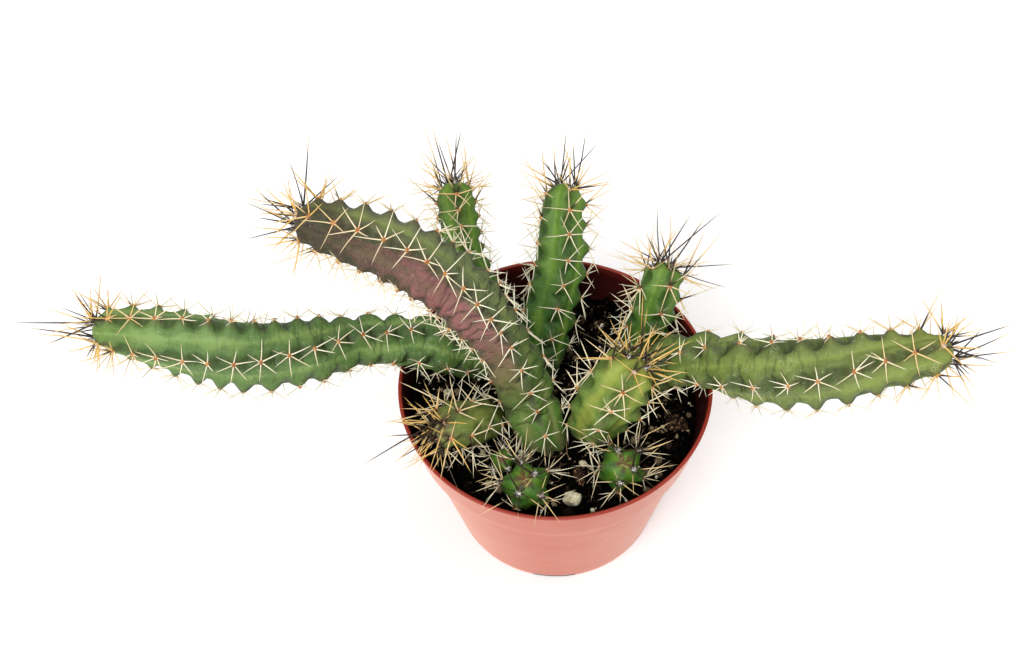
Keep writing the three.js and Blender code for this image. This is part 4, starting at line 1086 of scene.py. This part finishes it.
def rib_profile(stem, s, share):
    """The skin's radius as a share of the stem's, for each row and each place across a rib."""
    degrees = 180 // RIBS
    angle = np.radians(np.abs(np.arange(-degrees, degrees)))[None]
    wide = CREST_HALF_WIDTH / np.maximum(1, stem.radius(s))
    wide = np.minimum(CREST_HALF_ANGLE, wide)[:, None]
    fade = 1 - 0.6 * smooth((s - stem.dome_start - 0.4 * stem.dome) / (0.6 * stem.dome))
    low = (1 - stem.valley_depth * stem.relief(s) * fade)[:, None]
    half = RIB_STEP / 2
    shoulder = np.stack([SHOULDER * np.cos(wide), SHOULDER * np.sin(wide)])
    valley = np.stack([low * math.cos(half), low * math.sin(half)])
    edge = valley - shoulder
    cross = shoulder[0] * edge[1] - shoulder[1] * edge[0]
    flank = cross / (np.cos(angle) * edge[1] - np.sin(angle) * edge[0])
    shape = np.where(angle < wide, 1 - 0.015 * angle / wide, flank)
    swell = 0.018 * np.sin(np.clip(angle / half, 0, 1) * math.pi)
    shape = shape + swell * stem.relief(s)[:, None]
    kernel = np.exp(-((np.arange(-6, 7) / 2.6) ** 2))
    kernel /= kernel.sum()
    soft = sum(k * np.roll(shape, i - 6, axis=1) for i, k in enumerate(kernel))
    spot = (share * degrees + degrees) % (2 * degrees)
    before = np.floor(spot).astype(int) % (2 * degrees)
    part = spot - np.floor(spot)
    return soft[:, before] * (1 - part) + soft[:, (before + 1) % (2 * degrees)] * part


def straightened(radius, s, theta):
    """The points of a straight stem at these places along it and around it."""
    return np.stack([radius * np.cos(theta), radius * np.sin(theta),
                     np.broadcast_to(s[:, None], theta.shape)], -1)


def blush_map(stem, s, theta):
    """Where the arching stem has turned purple: the face below its front row of areoles."""
    if stem.facts["skin"] != "purple":
        return np.zeros(theta.shape)
    angle = np.degrees((theta + math.pi) % (2 * math.pi) - math.pi)
    share = (stem.length - s) / stem.length
    ragged = 7 * lumps(straightened(9, s, theta), 12, 90)
    face = smooth((angle + 150 + ragged) / 30) * smooth((16 + ragged - angle) / 20)
    length = smooth((0.92 - share) / 0.3)
    tip = 0.75 * smooth((angle + 170) / 40) * smooth((80 + ragged - angle) / 50)
    return np.maximum(face * length[:, None], tip * smooth((0.17 - share) / 0.1)[:, None])


def build_body(stem):
    """The stem's ribbed skin, with notches, creases and soft pads, and what its material reads."""
    start = min(max(0.0, SOIL_LEVEL - BURIED - stem.axis(0)[0][2]), LATEST_START)
    arc = np.linspace(0, math.pi / 2, max(8, round(stem.dome * math.pi / 2 / ROW_STEP)))
    s = np.concatenate([np.arange(start, stem.dome_start, ROW_STEP),
                        stem.dome_start + stem.dome * np.sin(arc[:-1])])
    u = np.linspace(-1, 1, RIB_COLUMNS, endpoint=False)
    share = np.sign(u) * np.abs(u) ** 1.25
    rib_of = np.repeat(np.arange(RIBS), RIB_COLUMNS)
    share_all = np.tile(share, RIBS)
    theta = stem.rib_angle(0, s)[:, None] + rib_of * RIB_STEP + share_all * RIB_STEP / 2
    profile = np.tile(rib_profile(stem, s, share), (1, RIBS))
    middles = []
    fall = 1 - smooth((np.abs(share) - 0.04) / 0.62)
    dip = np.zeros_like(profile)
    for rib in range(RIBS):
        drop, places = notch_share(stem, rib, s)
        middles.append(places)
        columns = slice(rib * RIB_COLUMNS, (rib + 1) * RIB_COLUMNS)
        profile[:, columns] -= drop[:, None] * fall[None]
        # How deep the notch reaches across the face; the skin's material darkens it as painted
        # shade in the dents.
        dip[:, columns] = drop[:, None] / NOTCH_DEPTH * (1 - np.abs(share))[None]
    # The crease grooves are carved here, and the skin's material also paints them darker as painted
    # shade.
    crease = crease_map(stem, s, theta, middles)
    radius = stem.radius(s)[:, None]
    _, front, side = stem.frame(s)
    out = front[:, None] * np.cos(theta)[..., None] + side[:, None] * np.sin(theta)[..., None]
    skin = stem.axis(s)[:, None] + out * (radius * profile)[..., None]
    ease = np.minimum(1, radius / 3)
    relief = 0.16 * lumps(skin, 9, stem.number) + 0.05 * lumps(skin, 2.6, stem.number + 50)
    relief = relief * stem.relief(s)[:, None] * ease - 0.24 * crease * ease
    flush = np.zeros_like(crease)
    for areole in stem.areoles:
        rows = np.abs(s - areole.s) < MAP_REACH
        gap = np.linalg.norm(skin[rows] - areole.base, axis=2)
        flush[rows] = np.maximum(flush[rows], np.exp(-((gap / 1.5) ** 2)))
        relief[rows] += 0.06 * np.exp(-((gap / 2.2) ** 2))
    skin = skin + out * relief[..., None]
    straight = straightened(radius, s, theta) + stem.number * 37.0
    x, y, z = np.moveaxis(skin, -1, 0)
    dust = np.where(np.hypot(x, y) < POT_RIM_RADIUS, smooth(1 - (z - soil_height(x, y)) / 5), 0)
    fields = dict(age=((stem.length - s) / stem.length)[:, None], flank=np.abs(share_all),
                  crease=crease, pad=flush, dust=dust, dip=dip, blush=blush_map(stem, s, theta))
    points = np.concatenate([skin.reshape(-1, 3), stem.axis(stem.length), stem.axis(s[0])])
    ends = dict(age=(0, 1), flank=(0.5, 0.5), dust=(0, 1))
    values = {key: np.append(np.broadcast_to(value, theta.shape), ends.get(key, (0, 0)))
              for key, value in fields.items()}
    values["skin"] = np.concatenate([straight.reshape(-1, 3), straight[-1, :1], straight[0, :1]])
    batch = Batch()
    batch.add(points, closed_faces(*theta.shape), **values)
    return batch


# Spines, felt and wool
def build_spines(stem, grown):
    """The stem's spines as bowed needles, with short dark new ones on the youngest areoles."""
    own = [spine for spine in grown if spine["areole"].stem is stem]
    rng = np.random.default_rng(SEED + stem.number)
    root, tip, central = (np.array([spine[key] for spine in own])
                          for key in ("root", "tip", "central"))
    youth = np.array([spine["areole"].youth for spine in own])
    age = np.array([(stem.length - spine["areole"].s) / stem.length for spine in own])

    def vary(low, high):
        return rng.uniform(low, high, len(own))

    batch = Batch()
    heading = unit(tip - root)
    length = np.linalg.norm(tip - root, axis=1)
    bend = np.cross(heading, rng.normal(size=heading.shape))
    bow = unit(bend) * (length * vary(0.0, 0.035))[:, None]
    thick = SPINE_THICKNESS * vary(0.82, 1.12) * (0.9 + 0.25 * youth)
    thick = thick * np.where(central, 1.6 if stem.small else 1.15, 1) * (0.75 if stem.small else 1)
    young = np.clip(1.25 * np.exp(-age / 0.13) + vary(-0.2, 0.2), 0, 1)
    young = np.minimum(young, 0.7) if stem.small else young
    dark = smooth((youth - 0.62) / 0.3) * vary(0.2, 1.1)
    held = vary(0.12, 0.42) + (0.75 if stem.small else 0.5) * smooth(youth * 2 - 1)
    dark = np.where(central & (youth > 0.12), np.maximum(dark, held), dark)
    if stem.small:
        dark = np.maximum(dark, vary(0.04, 0.34))
    needles(batch, root - heading * 0.5, tip, bow, thick, young=young, dark=np.clip(dark, 0, 1))
    count = NEW_SPINES
    for areole in (areole for areole in stem.areoles if areole.turns <= NEW_SPINE_TURNS):
        turn = rng.uniform(0, 2 * math.pi, count)
        rise = rng.uniform(0.9, 1.4, count)
        size = rng.uniform(1.6, 4.2, count) * (0.7 if stem.small else 1)
        foot = areole.middle + np.array([areole.heading(0.0, t) for t in turn]) * 0.35
        way = np.array([areole.heading(r, t) for r, t in zip(rise, turn)])
        needles(batch, foot - way * 0.3, foot + way * size[:, None], way * 0, 0.17,
                young=0.4, dark=rng.uniform(0.6, 1.0, count))
    return batch


def build_felt(stem):
    """A low cushion of felt on each areole, with short fuzz, and white wool on the youngest."""
    rng = np.random.default_rng(SEED + 100 + stem.number)
    batch = Batch()
    rings, sides = 4, 10
    rise = np.linspace(0, math.pi / 2, rings + 1)[:-1]
    angle, faces = circle(sides), tube_faces(rings, sides)
    for areole in stem.areoles:
        wool = float(smooth(1.3 - areole.turns)) * (0.3 if stem.facts["skin"] == "browned" else 1)
        tone = draw(stem.number, areole.number, 90)
        size = 0.66 + 0.25 * wool * (0.5 if stem.small else 1)
        across = (np.cos(angle)[:, None] * (areole.along * 0.9)
                  + np.sin(angle)[:, None] * (areole.side * 1.12))
        shape = np.concatenate([
            areole.base - areole.normal * 0.15 + across * size * math.cos(r)
            + areole.normal * ((0.75 * size + 0.15) * math.sin(r)) for r in rise
        ] + [[areole.base + areole.normal * (0.75 * size)]])
        shape = shape + unit(shape - areole.base) * rng.uniform(-0.09, 0.09, (len(shape), 1))
        batch.add(shape, faces, young=wool, tone=tone, reach=0.5)
        count = round(14 + 22 * wool)
        turn, lift = rng.uniform(0, 2 * math.pi, count), rng.uniform(0.3, 1.4, count)
        way = np.array([areole.heading(a, b) for a, b in zip(lift, turn)])
        foot = areole.base + way * 0.45 * size
        reach = rng.uniform(0.5, 1.0, (count, 1)) * (0.5 + 0.8 * wool)
        curl = np.cross(way, rng.normal(size=way.shape)) * reach * 0.35
        needles(batch, foot, foot + way * reach + curl * 0.6, curl, 0.06, sides=3,
                stations=[0, 0.4, 0.8], girths=[1, 0.9, 0.6], young=wool, tone=tone)
    return batch


# Pot
def ring_points(radii, heights, sides):
    """Rings of points about the Z axis, one for each radius and height."""
    angle = circle(sides)
    height = np.repeat(np.array(heights, float)[:, None], sides, 1)
    return np.stack([np.outer(radii, np.cos(angle)), np.outer(radii, np.sin(angle)), height],
                    -1).reshape(-1, 3)


def build_pot():
    """The pot turned from its profile. A zone of 1 is outside, 0.5 the lip and 0 deep inside."""
    inside = POT_RIM_RADIUS - POT_WALL
    inner_collar, step = COLLAR_RADIUS - POT_WALL, COLLAR_BOTTOM + POT_WALL_LIFT
    corners = [  # radius, height and zone
        (0, 0, 1), (POT_BASE_RADIUS - 0.9, 0, 1), (POT_BASE_RADIUS - 0.25, 0.25, 1),
        (pot_outer_radius(0.9), 0.9, 1), (pot_outer_radius(BODY_TOP - 1.2), BODY_TOP - 1.2, 0.92),
        (BODY_TOP_RADIUS + 0.25, BODY_TOP + 0.1, 0.91),
        (COLLAR_RADIUS - 0.55, COLLAR_BOTTOM - 0.5, 0.85),
        (COLLAR_RADIUS - 0.05, COLLAR_BOTTOM + 0.3, 0.84),
        (POT_RIM_RADIUS - 0.1, POT_HEIGHT - 0.9, 0.76), (POT_RIM_RADIUS, POT_HEIGHT - 0.45, 0.66),
        (POT_RIM_RADIUS - 0.15, POT_HEIGHT - 0.12, 0.5), (POT_RIM_RADIUS - 0.5, POT_HEIGHT, 0.48),
        (inside + 0.4, POT_HEIGHT, 0.5), (inside + 0.1, POT_HEIGHT - 0.2, 0.45),
        (inside, POT_HEIGHT - 0.6, 0.35),
        (inner_collar + 0.05, step + 0.4, 0.1), (inner_collar - 0.4, step - 0.4, 0.05),
        (BODY_TOP_RADIUS - POT_WALL, BODY_TOP + POT_WALL_LIFT - 0.1, 0),
        (pot_inner_radius(POT_FLOOR + 1), POT_FLOOR + 1, 0),
        (pot_inner_radius(POT_FLOOR) - 1.2, POT_FLOOR, 0), (0, POT_FLOOR, 0),
    ]
    profile = []
    for (r0, z0, k0), (r1, z1, k1) in zip(corners, corners[1:]):
        near = abs((z0 + z1) / 2 - COLLAR_BOTTOM) < 9 and k1 > 0.6
        parts = max(1, round(math.hypot(float(r1 - r0), z1 - z0) / (0.3 if near else 2.5)))
        for i in range(parts):
            w = i / parts
            profile.append((r0 + (r1 - r0) * w, z0 + (z1 - z0) * w, k0 + (k1 - k0) * w))
    radius, height, zone = np.array(profile[1:], float).T
    # worn holds a thin painted highlight along the collar's lower edge and a fainter one just above
    # it.
    worn = np.exp(-(((height - COLLAR_BOTTOM - 0.1) / 0.35) ** 2))
    worn += 0.5 * np.exp(-(((height - COLLAR_BOTTOM - 2.2) / 0.3) ** 2))
    worn = np.where(zone > 0.6, np.minimum(worn, 1), 0)
    batch = Batch()
    batch.add([*ring_points(radius, height, POT_SIDES), (0, 0, POT_FLOOR), (0, 0, 0)],
              closed_faces(len(radius), POT_SIDES), zone=[*np.repeat(zone, POT_SIDES), 0, 1],
              seam=[*np.repeat(worn, POT_SIDES), 0, 0])
    pot = batch.piece("pot_wall", pot_paint(), node="pot", slot="pot_plastic")
    cut_foot(pot)


def cut_foot(pot):
    """Cuts the shallow grooves and the drain holes in the pot's foot."""
    cutter = bmesh.new()
    reach = POT_BASE_RADIUS + 4 - FOOT_GROOVE_START
    for angle in circle(FOOT_GROOVES) + math.radians(FOOT_GROOVE_TURN):
        turn = Matrix.Rotation(angle, 4, "Z")
        block = bmesh.ops.create_cube(cutter, size=1)["verts"]
        size = Matrix.Diagonal((reach, FOOT_GROOVE_WIDTH, 2 * FOOT_GROOVE_HEIGHT, 1))
        shift = Matrix.Translation((FOOT_GROOVE_START + reach / 2, 0, 0))
        bmesh.ops.transform(cutter, matrix=turn @ shift @ size, verts=block)
        hole = bmesh.ops.create_cone(cutter, segments=40, radius1=DRAIN_HOLE_RADIUS,
                                     radius2=DRAIN_HOLE_RADIUS, depth=4 * POT_FLOOR,
                                     cap_ends=True)["verts"]
        shift = Matrix.Translation((DRAIN_HOLE_CIRCLE, 0, 0))
        bmesh.ops.transform(cutter, matrix=turn @ shift, verts=hole)
    bmesh.ops.scale(cutter, vec=(MM, MM, MM), verts=cutter.verts)
    mesh = bpy.data.meshes.new("foot_cut")
    cutter.to_mesh(mesh)
    cutter.free()
    tool = bpy.data.objects.new("foot_cut", mesh)
    bpy.context.scene.collection.objects.link(tool)
    cut = pot.modifiers.new("foot", "BOOLEAN")
    cut.operation, cut.object, cut.solver, cut.use_self = "DIFFERENCE", tool, "EXACT", True
    bpy.context.view_layer.update()
    shaped = bpy.data.meshes.new_from_object(
        pot.evaluated_get(bpy.context.evaluated_depsgraph_get()))
    pot.modifiers.clear()
    pot.data = shaped
    bpy.data.objects.remove(tool)


# Soil
def soil_top(x, y):
    """The peat's own surface: the part's, a little lower, with finer lumps."""
    spot = np.stack([x, y, np.zeros_like(x)], -1)
    return soil_height(x, y) - 0.35 + 0.5 * lumps(spot, 6, 11) + 0.28 * lumps(spot, 2.4, 12)


def on_soil(spots, lift=0.0):
    """Points on the peat at each x and y, or `lift` millimetres above it."""
    return np.column_stack([spots, soil_top(spots[:, 0], spots[:, 1]) + lift])


def build_soil():
    """The bed of peat: its wall from the bottom up, then its top from the edge inwards."""
    sides, rings = 180, 72
    angle = circle(sides)
    edge = float(pot_inner_radius(SOIL_LEVEL)) - 2 * CLEARANCE
    share = np.linspace(0, 1, rings + 1)[1:]
    x, y = np.outer(share * edge, np.cos(angle)), np.outer(share * edge, np.sin(angle))
    z = soil_top(x, y) - smooth((share[:, None] - 0.965) / 0.035)
    steps = np.array([COLLAR_BOTTOM, BODY_TOP]) + POT_WALL_LIFT
    z[-1] = np.maximum(z[-1], steps[0] + 0.6)
    rim = pot_inner_radius(z[-1]) - 2 * CLEARANCE
    x[-1], y[-1] = rim * np.cos(angle), rim * np.sin(angle)
    low = POT_FLOOR + CLEARANCE
    base = float(pot_inner_radius(low)) - 1.6
    wall = ring_points([base, *(pot_inner_radius(steps[::-1]) - 2 * CLEARANCE)],
                       [low, *steps[::-1]], sides)
    top = np.stack([x, y, z], -1)[::-1].reshape(-1, 3)
    points = np.vstack([wall, top, on_soil(np.zeros((1, 2))), [0, 0, low]])
    batch = Batch()
    batch.add(points, closed_faces(1 + len(steps) + rings, sides))
    return batch


def scattered(count, rng, margin):
    """Places on the soil, clear of the stems and the larger chips."""
    found = np.zeros((0, 2))
    edge = float(pot_inner_radius(SOIL_LEVEL)) - margin
    low = sample_points[:, 2] < SOIL_LEVEL + 6
    while len(found) < count:
        spot = rng.uniform(-edge, edge, (count * 2, 2))
        spot = spot[np.hypot(*spot.T) < edge]
        gap = np.linalg.norm(spot[:, None] - sample_points[None, low, :2], axis=2)
        gap = gap - sample_radii[low]
        spot = spot[gap.min(1) > -0.4]
        for chip in CHIPS:
            away = np.linalg.norm(spot - chip["centre"], axis=1)
            spot = spot[away > max(chip["half"]) * 0.9]
        found = np.vstack([found, spot])
    return on_soil(found[:count])


def strew(batch, rng, margin, sizes, widths, shapes, lifts, rough, fade=1):
    """Strews stones over the soil: so many of each size, with a level of detail for their mesh."""
    for count, size, level in sizes:
        centre = scattered(count, rng, margin)
        half = size * rng.uniform(*widths, (count, 1)) * rng.uniform(*shapes, (count, 3))
        centre[:, 2] += half.min(1) * rng.uniform(*lifts, count)
        stones(batch, centre, half, level, rough, rng, tone=rng.uniform(0, 1, count) ** fade)


def build_crumbs():
    """Peat crumbs of all sizes, which hide the smooth bed."""
    batch = Batch()
    strew(batch, np.random.default_rng(SEED + 7), 1.2,
          ((2500, 0.58, 1), (720, 1.05, 2), (260, 1.7, 2)), (0.5, 1.35), (0.55, 1.15), (0.0, 0.7),
          0.32, 1.8)
    return batch


# Each stone that the photograph shows: its x and y, its half size, and its tone from dark to pale.
STONE_SPOTS = [
    (5.2, -31.5, 1.1, 0.95), (29.1, -13.5, 0.9, 0.6), (31.2, -15.6, 1.1, 0.7),
    (32.5, -16.5, 0.8, 0.62), (33.3, -17.1, 0.9, 0.8), (34.5, -16.8, 1.2, 0.72),
    (35.9, -16.2, 1.0, 0.85), (24.8, -20.2, 1.3, 0.75), (31.2, -28.6, 1.9, 0.45),
    (27.1, -32.7, 1.8, 0.55), (26.6, -38.7, 1.6, 0.6), (39.5, -19.0, 1.0, 0.75),
    (-3.4, -42.7, 1.5, 0.7), (-33.2, 3.0, 1.5, 0.6), (-38.7, -22.3, 1.4, 0.4),
    (-36.5, -28.4, 0.8, 0.9), (-38.1, -27.0, 0.8, 0.6), (-29.9, -24.8, 1.4, 0.5),
    (-24.0, -34.1, 1.5, 0.95), (-20.7, -36.3, 2.0, 0.65), (-25.1, -22.7, 1.2, 0.85),
    (-40.3, -16.8, 1.3, 0.8), (-18.4, -14.6, 1.3, 0.7), (17.7, 31.7, 1.3, 0.8),
    (17.7, 23.3, 1.2, 0.75), (6.3, 21.1, 1.4, 0.6), (8.9, 16.3, 1.2, 0.5)]


def build_grit():
    """Tan and grey pebbles and chips of bark among the peat."""
    rng = np.random.default_rng(SEED + 8)
    batch = Batch()
    spots = np.array(STONE_SPOTS)
    half = spots[:, 2:3] * rng.uniform(0.6, 1.1, (len(spots), 3))
    stones(batch, on_soil(spots[:, :2], 0.4), half, 3, 0.25, rng, tone=spots[:, 3])
    strew(batch, rng, 2.0, ((900, 0.3, 1), (320, 0.55, 1), (60, 1.0, 2)), (0.6, 1.2),
          (0.6, 1.15), (0.2, 0.9), 0.2)
    return batch


# Each perlite bit that the photograph shows: its x and y, and its half size.
PERLITE_SPOTS = [(13, -46.5, 1.0), (8.5, -46, 0.9), (7.1, -28.3, 1.3), (29.2, 24, 1.0),
                 (23.5, 27.5, 1.0), (19.5, 31, 1.3), (-8, -45.5, 0.8)]


def build_perlite():
    """White perlite bits: the ones that the photograph shows, and a few small ones."""
    rng = np.random.default_rng(SEED + 9)
    batch = Batch()
    spots = np.array(PERLITE_SPOTS)
    half = spots[:, 2:] * rng.uniform(0.7, 1.1, (len(spots), 3))
    stones(batch, on_soil(spots[:, :2], 0.5), half, 3, 0.1, rng,
           tone=rng.uniform(0.4, 1, len(spots)))
    count = 46
    centre = scattered(count, rng, 2.0)
    half = rng.uniform(0.35, 0.85, (count, 1)) * rng.uniform(0.7, 1.1, (count, 3))
    centre[:, 2] += half.min(1) * 0.7
    stones(batch, centre, half, 2, 0.12, rng, tone=rng.uniform(0.2, 1, count))
    return batch


def build_fibres():
    """Thin roots and peat fibres lying on the soil."""
    rng = np.random.default_rng(SEED + 10)
    count = 170
    middle = scattered(count, rng, 6.0)
    middle[:, 2] += rng.uniform(0.5, 1.3, count)
    turn, tilt = rng.uniform(0, 2 * math.pi, count), rng.uniform(-0.16, 0.16, count)
    way = np.column_stack([np.cos(turn), np.sin(turn), tilt]) * rng.uniform(1.2, 4.2, (count, 1))
    bow = np.cross(way, rng.normal(size=way.shape)) * 0.2
    bow[:, 2] *= 0.4
    batch = Batch()
    needles(batch, middle - way, middle + way, bow, rng.uniform(0.08, 0.2, count), sides=5,
            stations=[0, 0.25, 0.5, 0.75, 0.95], girths=[0.6, 1, 1, 0.9, 0.5],
            tone=rng.uniform(0, 1, count))
    return batch


def build_chip(number, chip):
    """A chip of bark with its grain, or a perlite bit with flat faces and a crack."""
    points, faces = ball(5)
    x, y, z = points.T
    rough = 0.13 * lumps(points, 1.5, 60 + number) + 0.05 * lumps(points, 0.5, 70 + number)
    if chip["kind"] == "bark":
        grain = np.sin(y * 13 + 4 * x + 3 * lumps(points, 0.8, 90 + number))
        rough = rough + 0.07 * grain
        tone = 0.4 + 0.2 * grain + 0.3 * lumps(points, 0.35, 80 + number)
    else:
        rng = np.random.default_rng(SEED + 60 + number)
        planes = unit(rng.normal(size=(13, 3))) / rng.uniform(0.62, 0.94, (13, 1))
        cut = (np.clip(points @ planes.T, 0, None) ** 36).sum(1) ** (-1 / 36)
        course = points @ [0.25, 0.9, 0.2] - 0.1 * np.sin(x * 7)
        crack = np.exp(-((course / 0.07) ** 2)) * smooth((0.5 - np.abs(x)) / 0.2) * (z > 0)
        rough = np.minimum(cut, 1.08) - 0.95 + 0.25 * rough - 0.14 * crack
        # The perlite is painted darker in its crack, as painted shade.
        tone = 0.5 - 0.5 * crack + 0.25 * lumps(points, 0.9, 80 + number)
    shape = points * (0.93 + np.clip(rough, -0.3, 0.12))[:, None] * np.array(chip["half"])
    turn = draw(number, 8) * math.pi
    cos, sin = math.cos(turn), math.sin(turn)
    level = float(soil_height(*chip["centre"])) + chip["rise"]
    turned_x = shape[:, 0] * cos - shape[:, 1] * sin
    turned_y = shape[:, 0] * sin + shape[:, 1] * cos
    batch = Batch()
    batch.add(np.column_stack([turned_x, turned_y, shape[:, 2]]) + [*chip["centre"], level], faces,
              tone=tone)
    return batch


# Putting it together
grown = grow_all()
skins = {name: skin_paint(name, look) for name, look in SKINS.items()}
horn, wool = spine_paint(), felt_paint()
for stem in stems:
    name, skin = stem.facts["name"], stem.facts["skin"]
    build_body(stem).piece(name + "_skin", skins[skin], node=name, slot=SKINS[skin]["slot"])
    build_spines(stem, grown).piece(name + "_spines", horn)
    build_felt(stem).piece(name + "_felt", wool)

build_pot()
peat = [(0.0, (2, 2, 1)), (0.5, (8, 6, 5)), (0.85, (20, 15, 12)), (1.0, (56, 44, 34))]
pebble = [(0.0, (44, 36, 28)), (0.4, (88, 74, 54)), (0.75, (138, 120, 90)),
          (1.0, (178, 162, 128))]
white = [(0.0, (128, 114, 84)), (0.5, (204, 194, 160)), (1.0, (236, 232, 214))]
wood = [(0.0, (16, 10, 8)), (0.45, (48, 32, 22)), (0.75, (92, 66, 44)), (1.0, (150, 118, 84))]
perlite_paint = grit_paint("perlite_foam", white, 0.3)
build_soil().piece("soil_bed", soil_paint(), node="soil", slot="soil")
build_crumbs().piece("soil_crumbs", grit_paint("peat_crumb", peat, 0.4, gleam=0.03), slot="soil")
build_grit().piece("soil_pebbles", grit_paint("pebble_stone", pebble, 0.2), slot="soil")
build_perlite().piece("soil_perlite", perlite_paint, slot="perlite")
build_fibres().piece("soil_fibres", grit_paint("root_fibre", wood, 0.1), slot="bark")
chip_paints = {"perlite": perlite_paint, "bark": grit_paint("bark_chip", wood, 0.3)}
for number, chip in enumerate(CHIPS):
    build_chip(number, chip).piece(chip["name"] + "_stone", chip_paints[chip["kind"]],
                                   node=chip["name"], slot=chip["kind"])


# Floor, light and camera
FLOOR_GLOW = 0.14
SKY_GLOW = 0.3
FLOOR_REACH = 6


def build_stage():
    """A white floor with a faint glow, which keeps it as white as the photo's background."""
    paint = Paint("floor_paper", roughness=0.9)
    mottle = paint.noise(paint.place(), 3, 2)
    paint.colour = paint.ramp(mottle, [(0.3, (246, 246, 245)), (0.7, (250, 250, 249))])
    mesh = bpy.data.meshes.new("floor")
    corners = [(x * FLOOR_REACH, y * FLOOR_REACH, 0) for x, y in
               ((-1, -1), (1, -1), (1, 1), (-1, 1))]
    mesh.from_pydata(corners, [], [(0, 1, 2, 3)])
    mesh.materials.append(paint.finish({"Emission Color": (1, 1, 1, 1),
                                        "Emission Strength": FLOOR_GLOW}))
    floor = bpy.data.objects.new("floor", mesh)
    bpy.context.scene.collection.objects.link(floor)


def add_light(name, place, spread, strength):
    """A distant soft light that shines from `place` to the origin."""
    data = bpy.data.lights.new(name, "SUN")
    data.angle, data.energy = math.radians(spread), strength
    light = bpy.data.objects.new(name, data)
    light.location = place
    light.rotation_euler = (-Vector(place)).to_track_quat("-Z", "Y").to_euler()
    bpy.context.scene.collection.objects.link(light)


build_stage()
add_light("key", (-0.45, -0.85, 1.0), 45, 2.35)
add_light("top", (0.25, 0.1, 1.4), 70, 1.15)
world = bpy.data.worlds.new("studio")
world.use_nodes = True
sky = world.node_tree.nodes["Background"].inputs
sky["Color"].default_value = (1, 1, 1, 1)
sky["Strength"].default_value = SKY_GLOW
scene = bpy.context.scene
scene.world = world
scene.view_settings.view_transform = "Standard"

down, lean = math.radians(CAMERA_DOWN), math.radians(CAMERA_LEAN)
forward = Vector((0, math.cos(down), -math.sin(down)))
upright = Vector((0, math.sin(down), math.cos(down)))
level = Vector((1, 0, 0))
right = level * math.cos(lean) + upright * math.sin(lean)
up = upright * math.cos(lean) - level * math.sin(lean)
camera_data = bpy.data.cameras.new("camera")
camera_data.lens, camera_data.sensor_width = CAMERA_LENS, 36
camera_data.sensor_fit = "HORIZONTAL"
camera_data.clip_start, camera_data.clip_end = 0.01, 20
camera = bpy.data.objects.new("camera", camera_data)
turn = Matrix((right, up, -forward)).transposed().to_4x4()
camera.matrix_world = Matrix.Translation(Vector(CAMERA_PLACE) * MM) @ turn
scene.collection.objects.link(camera)
scene.camera = camera
